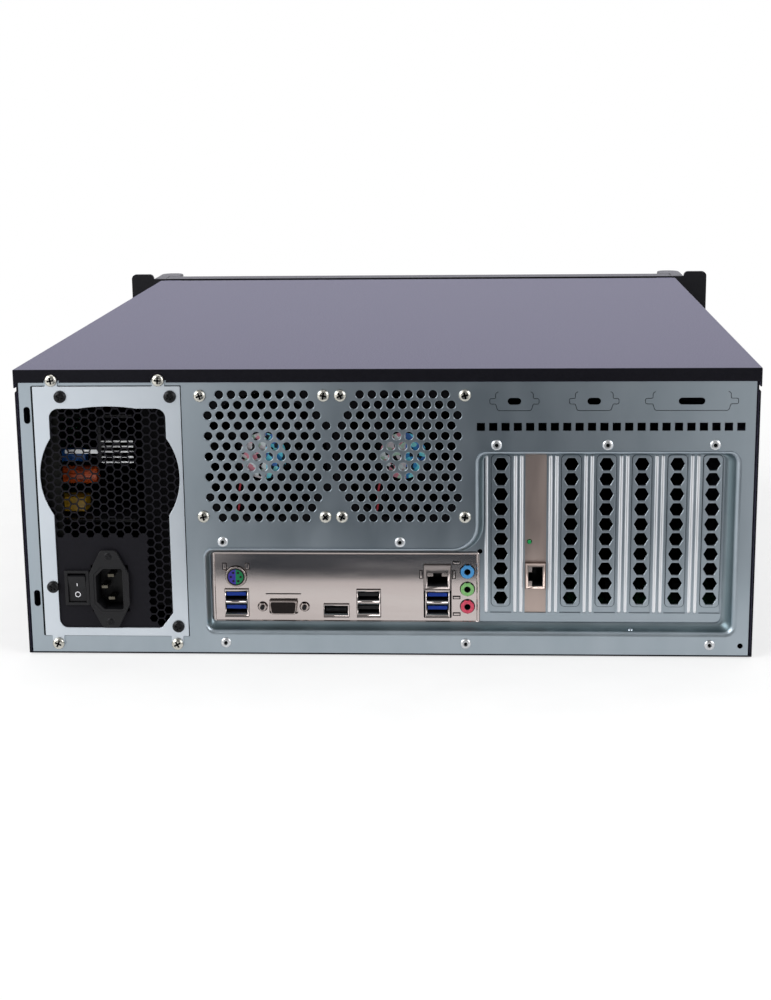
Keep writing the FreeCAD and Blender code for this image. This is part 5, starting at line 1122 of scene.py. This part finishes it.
def plate_outline():
    """The plate with its four screw tabs, two over the top edge and two under the bottom one."""
    corners = [(plate_left, plate_low, PLATE_ROUND), (plate_left, plate_high, PLATE_ROUND)]
    for across, up in PLATE_TABS[:2]:
        corners += tab(across + TAB_RADIUS, across - TAB_RADIUS, plate_high, up + TAB_RADIUS)
    corners += [(plate_right, plate_high, PLATE_ROUND), (plate_right, plate_low, PLATE_ROUND)]
    for across, up in PLATE_TABS[:1:-1]:
        corners += tab(across - TAB_RADIUS, across + TAB_RADIUS, plate_low, up - TAB_RADIUS)
    return rounded(corners, 5)


WINDOW_HALF, WINDOW_HIGH, WINDOW_LOW = 34.0, 62.0, 70.0
BULGE_RADIUS, BULGE_RISE = 41.0, 21.6
ARCH_HALF, ARCH_RISE = 17.0, 1.3


def bulge(start, end, steps=14):
    """Points along the round bulge of the window between two angles in degrees."""
    angles = [math.radians(start + (end - start) * step / steps) for step in range(steps + 1)]
    return [(PSU_X + BULGE_RADIUS * math.cos(angle), PSU_Z + BULGE_RISE + BULGE_RADIUS * math.sin(angle))
            for angle in angles]


def plate_window():
    """The plate's opening: a tall window that swells out to a circle on both sides."""
    flank = math.degrees(math.acos(WINDOW_HALF / BULGE_RADIUS))
    left, right = PSU_X + WINDOW_HALF, PSU_X - WINDOW_HALF
    low, high = PSU_Z - WINDOW_LOW, PSU_Z + WINDOW_HIGH
    corners = rounded([(left, high - 14, 0), (left, high, 5.5), (right, high, 5.5), (right, high - 14, 0)])
    half = len(corners) // 2
    steps = [step / 6 for step in range(-6, 7)]
    arch = [(PSU_X - ARCH_HALF * step, high + ARCH_RISE * (1 - step ** 2)) for step in steps]
    crest = corners[:half] + arch + corners[half:]
    foot = rounded([(right, low + 20, 0), (right, low + 9.1, 2.0), (right + 7.0, low, 2.0), (left, low, 5.0),
                    (left, low + 20, 0)])
    return bulge(-flank, flank) + crest[1:-1] + bulge(180 - flank, 180 + flank) + foot[1:-1]


sheet("psu_plate_face", [plate_outline(), plate_window()], [], -SHEET, SHEET, light_steel, "light_steel",
      "psu_plate", edge=0.3)
# Black foam: a strip of it in the gap beside the plate's outer edge is painted shade, a dark line there.
foam_coat = finish("black_gasket_foam", "#0A0B0D", "#15171A", grain=1.2, roughness=0.9, relief=0.4,
                     Specular_IOR_Level=0.1)
edge_shade_strip = bmesh.new()
block(edge_shade_strip, (plate_left + 0.1, plate_left + 1.2), (-0.5, 0.0), (plate_low, plate_high))
moulded(edge_shade_strip, "psu_plate_gasket", 0.2, foam_coat, "black_plastic")

CELL_RISE, CELL_STEP, CELL_SIZE = 5.15, 4.46, 5.1
INLET_X, INLET_Z, SWITCH_X, SWITCH_Z = 163.4, 40.2, 182.8, 40.8
INLET_HOLE, SWITCH_HOLE = (22.2, 28.6), (13.2, 19.6)
SOLID_TOP, SOLID_RIGHT = -13.0, -18.5


def honeycomb():
    """Flat-topped cells that fill the window, clear of the switch and the inlet."""
    found = []
    for column in range(-9, 10):
        for row in range(-14, 15):
            across, up = column * CELL_STEP, (row + column % 2 / 2) * CELL_RISE
            in_circle = math.hypot(across, up - BULGE_RISE) < BULGE_RADIUS + 1
            in_window = abs(across) < WINDOW_HALF + 1 and 2 - WINDOW_LOW < up < WINDOW_HIGH + 1
            if (in_circle or in_window) and (up > SOLID_TOP or across < SOLID_RIGHT):
                found.append((PSU_X + across, PSU_Z + up, HEXAGON, CELL_SIZE, CELL_SIZE))
    return found


end_loops = [rectangle(PSU_X, PSU_Z, *PSU_FACE), rectangle(INLET_X, INLET_Z, *INLET_HOLE),
             rectangle(SWITCH_X, SWITCH_Z, *SWITCH_HOLE)]
sheet("psu_grille", end_loops, honeycomb(), 0.0, 0.9, psu_paint, "psu_paint", "psu_end_plate")
dress("psu_housing", psu_paint)
dress("psu_board", circuit_board)
# Transformer tape: yellow polyester film wound over the core, darkened as painted shade. It gives a glossy
# yellow.
yellow_tape = finish("yellow_polyester_tape", "#8A6A10", "#AC8618", grain=4.0, roughness=0.35,
                     stretch=(1, 1, 4))
eased_solid("psu_transformer", 0.8, yellow_tape, "yellow_tape")
# Winding: enamelled copper wire round a ferrite ring, darkened as painted shade. It gives glossy orange
# stripes.
winding = finish("enamelled_copper", "#6E2408", "#C0501C", grain=1.2, roughness=0.3, stretch=(0.2, 1, 1))
eased_solid("psu_coil", 0.6, winding, "winding")
# Capacitor sleeve: shrunk PVC film, darkened as painted shade inside the supply. It gives a glossy blue.
blue_sleeve = finish("blue_pvc_sleeve", "#103C74", "#1A5090", grain=5.0, roughness=0.3)
eased_solid("psu_capacitor", 0.8, blue_sleeve, "blue_sleeve")
# Heat sinks: black anodised plates; the faces of the thin fin stack that look out of the supply are drawn
# pale.
sink_maker = solid_copy("psu_heat_sinks")
STACK_LEFT, STACK_LOW, STACK_HIGH = PSU_X + 7.5, PSU_Z + 26.8, PSU_Z + 40.4
split = bmesh.new()
split.from_mesh(sink_maker.data)
for spot, normal in (((STACK_LEFT * MM, 0, 0), (1, 0, 0)), ((0, 0, STACK_HIGH * MM), (0, 0, 1))):
    everything = split.verts[:] + split.edges[:] + split.faces[:]
    bmesh.ops.bisect_plane(split, geom=everything, plane_co=spot, plane_no=normal)
split.to_mesh(sink_maker.data)
split.free()
sinks = eased(sink_maker, "psu_heat_sinks_skin", 0.2)
keep(sinks, black_plastic, "aluminium", "psu_heat_sinks")
# Fin faces: aluminium drawn near white, partly its plain tone and partly a painted highlight where the
# fins and their arm catch the light. They give bright pale bars.
fin_highlight = finish("skived_aluminium", "#D6D8DA", "#EEF0F2", grain=2.0, roughness=0.5, metallic=0.2)
sinks.data.materials.append(fin_highlight)
for face in sinks.data.polygons:
    across, up = face.center.x / MM, face.center.z / MM
    in_stack = across < STACK_LEFT + 0.1 and STACK_LOW < up < STACK_HIGH
    face.material_index = 1 if in_stack and face.normal.y > 0.5 else 0
ARM_LENGTH, ARM_HALF = 22.0, 1.2
arm = bmesh.new()
arm_up = (STACK_LOW + STACK_HIGH) / 2
arm_deep = depths("psu_heat_sinks")[0]
block(arm, (STACK_LEFT, STACK_LEFT + ARM_LENGTH), (arm_deep + 0.2, arm_deep + 1.0), around(arm_up, ARM_HALF))
moulded(arm, "psu_heat_sink_arm", 0.2, fin_highlight, "aluminium")
# Insulating film: a strip of black fish paper that stands before the board and covers its soldered edge.
fish_paper = finish("black_fish_paper", "#070806", "#0C0D0A", grain=6.0, roughness=0.7,
                    Specular_IOR_Level=0.2)
FILM_SHEET, FILM_HALF, FILM_START, FILM_END = 0.4, 70.0, 3.4, 9.0
film = bmesh.new()
film_right, film_left = PSU_X + 30.0, spans("psu_housing")[0][1] - 1.0
film_fold = film_right + FILM_SHEET
block(film, (film_fold, film_left), (FILM_START, FILM_START + FILM_SHEET), around(PSU_Z, FILM_HALF))
block(film, (film_right, film_fold), (FILM_START, FILM_END), around(PSU_Z, FILM_HALF))
moulded(film, "psu_insulating_film", 0.1, fish_paper, "psu_paint")

# Mains inlet: a black nylon socket pressed through the end plate, held by two tapered ears.
INLET_STAND = -depths("mains_inlet")[0]


def inlet_outline():
    """The inlet's flange: a block with chamfered corners that runs out to a rounded ear at each end."""
    half, shoulder, ear, tip = 11.8, 9.5, 4.6, 23.7
    corners = [(half, shoulder, 1.5), (half, -shoulder, 1.5), (ear, -tip, 3.0), (-ear, -tip, 3.0),
               (-half, -shoulder, 1.5), (-half, shoulder, 1.5), (-ear, tip, 3.0), (ear, tip, 3.0)]
    return rounded([(INLET_X + x, INLET_Z + z, radius) for x, z, radius in corners], 4)


def inlet_mouth(grow):
    """The socket's mouth, with two corners cut off on the earth pin's side."""
    half, reach, cut = 7.9 + grow, 12.3 + grow, 4.5
    corners = [(-half, -reach, 0.8), (half - cut, -reach, 0.5), (half, cut - reach, 0.5),
               (half, reach - cut, 0.5), (half - cut, reach, 0.5), (-half, reach, 0.8)]
    return rounded([(INLET_X + x, INLET_Z + z, radius) for x, z, radius in corners], 3)


sheet("mains_inlet_flange", [inlet_outline(), inlet_mouth(1.2)], [], -INLET_STAND, INLET_STAND,
      black_plastic, "black_plastic", "mains_inlet", edge=0.5)
sheet("mains_inlet_liner", [inlet_mouth(1.6), inlet_mouth(0.0)], [], 0.4 - INLET_STAND, 15.0,
      black_plastic, "black_plastic", edge=0.3)
sheet("mains_inlet_floor", [inlet_mouth(0.3)], [], 13.0, 2.0, black_plastic, "black_plastic")
# Brass: nickel-plated contact blades, drawn dark grey as painted shade on their faces. They give small dim
# bars.
brass = finish("plated_brass", "#565248", "#6E6A60", grain=2.0, roughness=0.25, metallic=1.0)
eased_solid("inlet_pins", 0.3, brass, "brass")

# Rocker switch: a black bezel with a rocker marked by a bar and a ring in white.
eased_solid("switch_bezel", 0.4, black_plastic, "black_plastic")
eased_solid("switch_rocker", 0.35, black_plastic, "black_plastic", body="rocker")
# White print: pad-printed ink. It gives a flat white.
white_ink = finish("white_ink", "#C8C8CC", "#DCDCE0", grain=1.0, roughness=0.6)
ROCKER_TILT, ROCKER_PIVOT, ROCKER_FRONT = math.radians(9.0), 2.0, 2.6
BAR_UP, RING_UP, INK_LIFT = 2.4, -3.8, 0.03
face_tilt = math.tan(ROCKER_TILT)


def mark(outline, middle):
    """A thin printed mark on the rocker's face, round a height over its pivot."""
    shape = bmesh.new()
    verts = []
    for x, z in outline:
        up = middle + z
        out = ROCKER_FRONT + abs(up) * face_tilt + INK_LIFT
        verts.append(shape.verts.new((x * MM, out * MM, up * MM)))
    shape.faces.new(verts[::-1])
    turn = Matrix.Rotation(-ROCKER_TILT, 4, "X")
    place = Matrix.Translation((SWITCH_X * MM, REAR - ROCKER_PIVOT * MM, SWITCH_Z * MM))
    bmesh.ops.transform(shape, matrix=place @ turn, verts=shape.verts)
    return shape


bar_mark = formed(mark(rectangle(0, 0, 0.5, 2.0), BAR_UP), "bar_mark_maker")
keep(baked(bar_mark, "rocker_bar_mark"), white_ink, "black_plastic", body="rocker")
ring_outer = rectangle(0, 0, 3.4, 3.4, 1.69, 5)
ring_inner = rectangle(0, 0, 2.5, 2.5, 1.24, 5)
ring_shape = bmesh.new()
ring_rows = []
for loop in (ring_outer, ring_inner):
    one = mark(loop, RING_UP)
    ring_rows.append([ring_shape.verts.new(vert.co) for vert in one.verts])
    one.free()
bridged(ring_shape, ring_rows)
keep(formed(ring_shape, "rocker_ring_mark"), white_ink, "black_plastic", body="rocker")


# Fasteners: cross-recessed pan-head screws. Zinc ones hold the fans and the plate, black ones the power
# supply and the cover.

SCREW_RADIUS, SCREW_HEAD = 3.6, 2.0
FAN_SCREW = 35.75
EAR_RADIUS, EAR_HEAD, EAR_SINK, EAR_SPREAD = 2.4, 0.7, 0.35, 20.0
SKIRT_Z, SKIRT_PLACES = 165.6, (-180.0, 0.0, 180.0)


def screw_part(name, radius, head):
    """A pan head with a cross recess, looking out along the depth axis."""
    dome = turned([(0, 0), (radius, 0), (radius, 0.4 * head), (0.86 * radius, 0.8 * head),
                   (0.55 * radius, head), (0, head)], 20)
    part = formed(dome, name)
    cross = bmesh.new()
    for wide, tall in ((0.3, 1.15), (1.15, 0.3)):
        size = Vector((wide * radius, 1.6 * head, tall * radius)) * MM
        centre = Matrix.Translation((0.0, 1.25 * head * MM, 0.0))
        bmesh.ops.create_cube(cross, size=1.0, matrix=centre @ Matrix.Diagonal(size.to_4d()))
    driver = formed(cross, name + "_cross")
    recess_cut = part.modifiers.new("cross", "BOOLEAN")
    recess_cut.object = driver
    recess_cut.operation = "DIFFERENCE"
    recess_cut.use_self = True
    made = baked(part, name + "_head")
    bpy.data.objects.remove(driver)
    return made


def cross_shade(name, radius, head):
    """A dark cross on the floor of a cross recess, drawn as painted shade."""
    shape = bmesh.new()
    for wide, tall in ((0.28, 1.12), (1.12, 0.28)):
        size = Vector((wide * radius, 0.2 * head, tall * radius)) * MM
        centre = Matrix.Translation((0.0, 0.5 * head * MM, 0.0))
        bmesh.ops.create_cube(shape, size=1.0, matrix=centre @ Matrix.Diagonal(size.to_4d()))
    return formed(shape, name)


# Screw zinc: barrel-plated steel. It gives a bright, slightly yellow metal.
screw_zinc = finish("barrel_zinc_plate", "#B9B7AE", "#D2D0C8", grain=1.5, roughness=0.28, metallic=1.0)
# Black oxide: heat-blacked steel. It gives a dark satin metal.
black_oxide = finish("black_oxide_steel", "#0E0E10", "#19191C", grain=1.2, roughness=0.35, metallic=0.6)
zinc_places = [(FAN_X[fan] + across * FAN_SCREW, 0.0, FAN_Z + up * FAN_SCREW)
               for fan in FAN_X for across in (-1, 1) for up in (-1, 1)]
zinc_places += [(across, -SHEET, up) for across, up in PLATE_TABS]
zinc_screw = screw_part("zinc_screw", SCREW_RADIUS, SCREW_HEAD)
scattered("zinc_screws", zinc_screw, zinc_places, screw_zinc, "screw_steel", "case_screws", swing=math.pi,
          seed=7)
# Painted shade: a dark cross in the recess of each zinc screw.
zinc_floor = cross_shade("zinc_floor", SCREW_RADIUS, SCREW_HEAD)
scattered("zinc_screw_floors", zinc_floor, zinc_places, painted_shade_steel, "screw_steel", swing=math.pi, seed=7)
PSU_SCREWS = [(27.0, 69.0), (-37.0, 69.0), (37.0, -45.0), (-37.0, -69.0)]
psu_screws = [(PSU_X + x, -SHEET, PSU_Z + z) for x, z in PSU_SCREWS]
ear_screw = screw_part("ear_screw", EAR_RADIUS, EAR_HEAD)
ear_places = [(INLET_X, EAR_SINK - INLET_STAND, INLET_Z + side * EAR_SPREAD) for side in (-1, 1)]
scattered("inlet_ear_screws", ear_screw, ear_places, black_oxide, "screw_steel", swing=math.pi, seed=5)
black_screw = screw_part("black_screw", SCREW_RADIUS, SCREW_HEAD)
scattered("black_screws", black_screw, psu_screws, black_oxide, "screw_steel", swing=math.pi, seed=3)
lid_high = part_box("top_cover")[1]
side_screw = screw_part("side_screw", SCREW_RADIUS, (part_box("case_screws")[1].x - lid_high.x) / MM)
for name, side in (("left", 1), ("right", -1)):
    flat_mesh = side_screw.data.copy()
    flat_mesh.transform(Matrix.Rotation(-side * math.pi / 2, 4, "Z"))
    skirt_places = [(side * lid_high.x / MM, REAR / MM - along, SKIRT_Z) for along in SKIRT_PLACES]
    part = linked("side_screw_part", flat_mesh)
    scattered(name + "_cover_screws", part, skirt_places, black_oxide, "screw_steel")
bpy.data.objects.remove(side_screw)


# Inside the case: the main board stands on brass standoffs over a raised deck, with card sockets, memory
# and a finned processor cooler; the drives sit in a cage behind the bay covers.

# Turned brass: bright from the lathe. It gives warm yellow metal posts.
standoff_brass = finish("turned_brass", "#A8894A", "#BFA05C", grain=2.0, roughness=0.3, metallic=1.0)
for node in ("main_board", "control_board"):
    dress(node, circuit_board)
dress("board_deck", zinc)
dress("board_standoffs", standoff_brass)
dress("card_sockets", black_plastic)
dress("memory_modules", circuit_board)
dress("processor_heat_sink", aluminium)
dress("drive_cage", zinc)
dress("hard_drives", aluminium)
# Inner fans, as (name, size, turn, axis of the shaft, end of that axis where the motor base is)
UPRIGHT = (0.0, 0.0, 0.0)
INNER_FANS = [
    ("processor", SMALL_FAN, UPRIGHT, 2, 0),
    ("front", LARGE_FAN, TO_FRONT, 1, 1),
    ("psu", LARGE_FAN, TO_LEFT, 0, 0),
]
for name, size, turn, axis, end in INNER_FANS:
    eased_solid(name + "_fan_frame", 0.6, fan_plastic, "black_plastic")
    low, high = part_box(name + "_fan_frame")
    place = [(low[side] + high[side]) / 2 for side in range(3)]
    place[axis] = (low, high)[end][axis]
    rotor(name + "_fan_rotor", *size, turn, place, name + "_rotor")


# Front: a thick plate whose ends are the rack ears, a moulded bezel over it with bay covers, controls
# and two handles bolted beside it.

# Front coat: the same powder in a neutral black. It gives a plain satin black on the panel and the handles.
front_coat = finish("neutral_powder_coat", "#121215", "#19191C", grain=0.9, roughness=0.4, relief=0.2,
                    Specular_IOR_Level=0.12, Sheen_Weight=0.4, Sheen_Roughness=0.45,
                    Sheen_Tint=linear("#A3A1B2"))
eased_solid("front_panel", 0.5, front_coat, "case_paint")
# Bezel plastic: textured black ABS. It gives a dull black with a fine spark-eroded grain.
bezel_plastic = finish("black_textured_abs", "#141417", "#1D1D20", grain=1.1, roughness=0.55, relief=0.35,
                       Specular_IOR_Level=0.35, Sheen_Weight=0.4, Sheen_Roughness=0.45,
                       Sheen_Tint=linear("#A3A1B2"))
eased_solid("front_bezel", 0.7, bezel_plastic, "bezel_plastic")
eased_solid("bay_covers", 0.6, bezel_plastic, "bezel_plastic")
# Dust filter: open-cell foam clipped behind the intake slots. It gives a soft black with fine pores.
filter_foam = finish("black_filter_foam", "#050506", "#121214", grain=1.6, roughness=0.9, relief=0.6)
fan_across, fan_up = spans("front_fan_frame")
bezel_front = depths("front_bezel")[1]
FILTER_ROOM, FILTER_BACK, FILTER_FRONT = 3.0, 6.0, 1.8
foam = bmesh.new()
block(foam, (fan_across[0] - FILTER_ROOM, fan_across[1] + FILTER_ROOM),
      (bezel_front - FILTER_BACK, bezel_front - FILTER_FRONT),
      (fan_up[0] - FILTER_ROOM, fan_up[1] + FILTER_ROOM))
moulded(foam, "intake_dust_filter", 0.8, filter_foam, "bezel_plastic")
for name in ("left_handle", "right_handle"):
    eased_solid(name, 1.2, front_coat, "case_paint")
# Button plastic: smooth grey ABS. It gives a lighter satin than the bezel.
button_plastic = finish("grey_abs", "#3A3B3F", "#46474B", grain=1.5, roughness=0.4)
eased_solid("power_button", 0.5, button_plastic, "bezel_plastic", body="power")
eased_solid("reset_button", 0.4, button_plastic, "bezel_plastic", body="reset")
eased_solid("front_lamps", 0.3, green_lens, "lens")
eased_solid("front_usb_ports", 0.2, nickel, "tin")


# Top cover: a shallow lid of steel sheet with folded skirts and a rear lip, powder coated black. It
# slides on from behind, its lip is notched round the plate's two upper screws, and a strip of foam seals
# its front edge.

eased_solid("top_cover", 0.6, powder_coat, "case_paint")


def half_ring(across, up, inner, outer):
    """The upper half of a flat ring."""
    turns = [math.pi * step / 12 for step in range(13)]
    far = [(across + outer * math.cos(turn), up + outer * math.sin(turn)) for turn in turns]
    near = [(across + inner * math.cos(turn), up + inner * math.sin(turn)) for turn in turns]
    return far + near[::-1]


NOTCH_INNER, NOTCH_OUTER = 3.2, 4.9
SEAL_BACK, SEAL_FRONT, SEAL_HEIGHT = 6.0, 1.0, 13.0
lip_depth, cover_front = depths("top_cover")
# Notch rims: black half rings round the two notches, as painted shade over the gap round each screw.
notch_shade_loops = [half_ring(across, up, NOTCH_INNER, NOTCH_OUTER) for across, up in PLATE_TABS[:2]]
sheet("lip_notch_rims", notch_shade_loops, [], lip_depth - 0.1, 0.8, powder_coat, "case_paint", edge=0.15)
# Cover seal: the foam strip closes the gap between the cover's front edge and the front panel.
cover_under = lid_high.z / MM - SHEET
seal_half = spans("base_tray")[0][1] - SHEET
seal = bmesh.new()
block(seal, around(0.0, seal_half), (cover_front - SEAL_BACK, cover_front - SEAL_FRONT),
      (cover_under - SEAL_HEIGHT, cover_under))
moulded(seal, "cover_front_seal", 0.5, foam_coat, "black_plastic")


# Studio: a white floor under the case, a glowing apron before it seen only in reflections, soft lamps on both
# sides and above, and a world that is white to the camera, bright in front of the case and dim behind the
# camera.

FLOOR_Z = cad_box[0][2]
WHITE = (1.0, 1.0, 1.0, 1.0)


def ground(name, across, along, height):
    """A level sheet from its spans across and along."""
    shape = bmesh.new()
    corners = [(across[0], along[0]), (across[1], along[0]), (across[1], along[1]), (across[0], along[1])]
    shape.faces.new([shape.verts.new((x, y, height)) for x, y in corners])
    made = formed(shape, name)
    return made


def sent_on(tree, rays):
    """One for the rays that a glossy or a clear surface sends on, nothing for the others."""
    return reckoned(tree, "MAXIMUM", rays["Is Glossy Ray"], rays["Is Transmission Ray"])


# Background paper: white and matt. It glows a little where it is seen, fully so away from the case, which
# keeps the case's shadow and hides where the floor ends.
floor_paper = finish("white_paper", "#EDEDED", "#F2F2F2", grain=40.0, roughness=0.9)
paper_tree = floor_paper.node_tree
paper_place = add(paper_tree, "ShaderNodeTexCoord")
from_case = add(paper_tree, "ShaderNodeVectorMath", {0: paper_place.outputs["Object"]}, operation="LENGTH")
paper_glow = ranged(paper_tree, from_case.outputs["Value"], 0.35, 0.75, 0.6, 1.0)
paper_rays = add(paper_tree, "ShaderNodeLightPath").outputs
paper_seen = reckoned(paper_tree, "MAXIMUM", paper_rays["Is Camera Ray"], sent_on(paper_tree, paper_rays))
paper_share = reckoned(paper_tree, "MULTIPLY", paper_glow, paper_seen)
paper_light = add(paper_tree, "ShaderNodeEmission", {"Color": WHITE, "Strength": 1.0})
paper_mix = add(paper_tree, "ShaderNodeMixShader", {
    0: paper_share, 1: paper_tree.nodes["Principled BSDF"].outputs[0], 2: paper_light.outputs[0]})
paper_tree.links.new(paper_mix.outputs[0], paper_tree.nodes["Material Output"].inputs["Surface"])
floor = ground("studio_floor", (-3.0, 3.0), (-3.0, 3.0), FLOOR_Z - 0.6 * MM)
floor.data.materials.append(floor_paper)

# Apron: a glowing card, no lamp, that shows only mirrored in the case's metal as a painted reflection. It is
# dark before the middle of the case and pale towards both sides.
apron_card = bpy.data.materials.new("shaded_card")
apron_card.use_nodes = True
card_tree = apron_card.node_tree
card_across = place_on(card_tree)["X"]
card_left = ranged(card_tree, card_across, 0.11, 0.25)
card_right = ranged(card_tree, card_across, -0.33, -0.15, 1.0, 0.0)
card_level = reckoned(card_tree, "MAXIMUM", card_left, card_right)
card_tone = blended(card_tree, card_level, linear("#4D535A"), WHITE)
card_strength = ranged(card_tree, card_across, 0.24, 0.36, 1.0, 1.4)
card_light = add(card_tree, "ShaderNodeEmission", {"Color": card_tone, "Strength": card_strength})
card_tree.links.new(card_light.outputs[0], card_tree.nodes["Material Output"].inputs["Surface"])
apron = ground("studio_apron", (-1.6, 1.6), (REAR + 0.155, 2.6), FLOOR_Z - 0.4 * MM)
apron.data.materials.append(apron_card)
for ray in ("camera", "diffuse", "shadow", "transmission", "volume_scatter"):
    setattr(apron, "visible_" + ray, False)

LAMPS = [
    ("left_softbox", (1.3, 1.1, 0.9), 1.2, 22.0),
    ("right_softbox", (-1.5, 1.0, 1.0), 1.2, 18.0),
    ("top_softbox", (0.0, -0.4, 1.9), 1.6, 12.0),
]
AIM = Vector((0.0, 0.1, 0.08))
for name, place, size, power in LAMPS:
    lamp = bpy.data.lights.new(name, "AREA")
    lamp.size = size
    lamp.energy = power
    stand = linked(name, lamp)
    stand.location = place
    stand.rotation_euler = (AIM - Vector(place)).to_track_quat("-Z", "Y").to_euler()

world = bpy.data.worlds.new("studio_world")
scene.world = world
world.use_nodes = True
sky = world.node_tree
sky.nodes.clear()
direction = add(sky, "ShaderNodeTexCoord")
sides = add(sky, "ShaderNodeSeparateXYZ", {"Vector": direction.outputs["Generated"]})
fade = ranged(sky, sides.outputs["Y"], -0.2, 0.5, 0.75, 0.3)
backdrop = ranged(sky, sides.outputs["Y"], -0.1, 0.5, 1.0, 0.22)
rays = add(sky, "ShaderNodeLightPath").outputs
lit = add(sky, "ShaderNodeMix", {0: sent_on(sky, rays), 2: fade, 3: backdrop}, data_type="FLOAT")
level = add(sky, "ShaderNodeMix", {0: rays["Is Camera Ray"], 2: lit.outputs[0], 3: 1.0}, data_type="FLOAT")
glow = add(sky, "ShaderNodeBackground", {"Color": WHITE, "Strength": level.outputs[0]})
add(sky, "ShaderNodeOutputWorld", {"Surface": glow.outputs[0]})

camera_data = bpy.data.cameras.new("photo_camera")
camera_data.lens = 64.43
camera_data.sensor_width = 36.0
camera = linked("photo_camera", camera_data)
camera.location = (-0.05914, 1.25132, 0.32789)
camera.rotation_euler = [math.radians(turn) for turn in (76.9827, 0.6626, -176.8272)]
scene.camera = camera
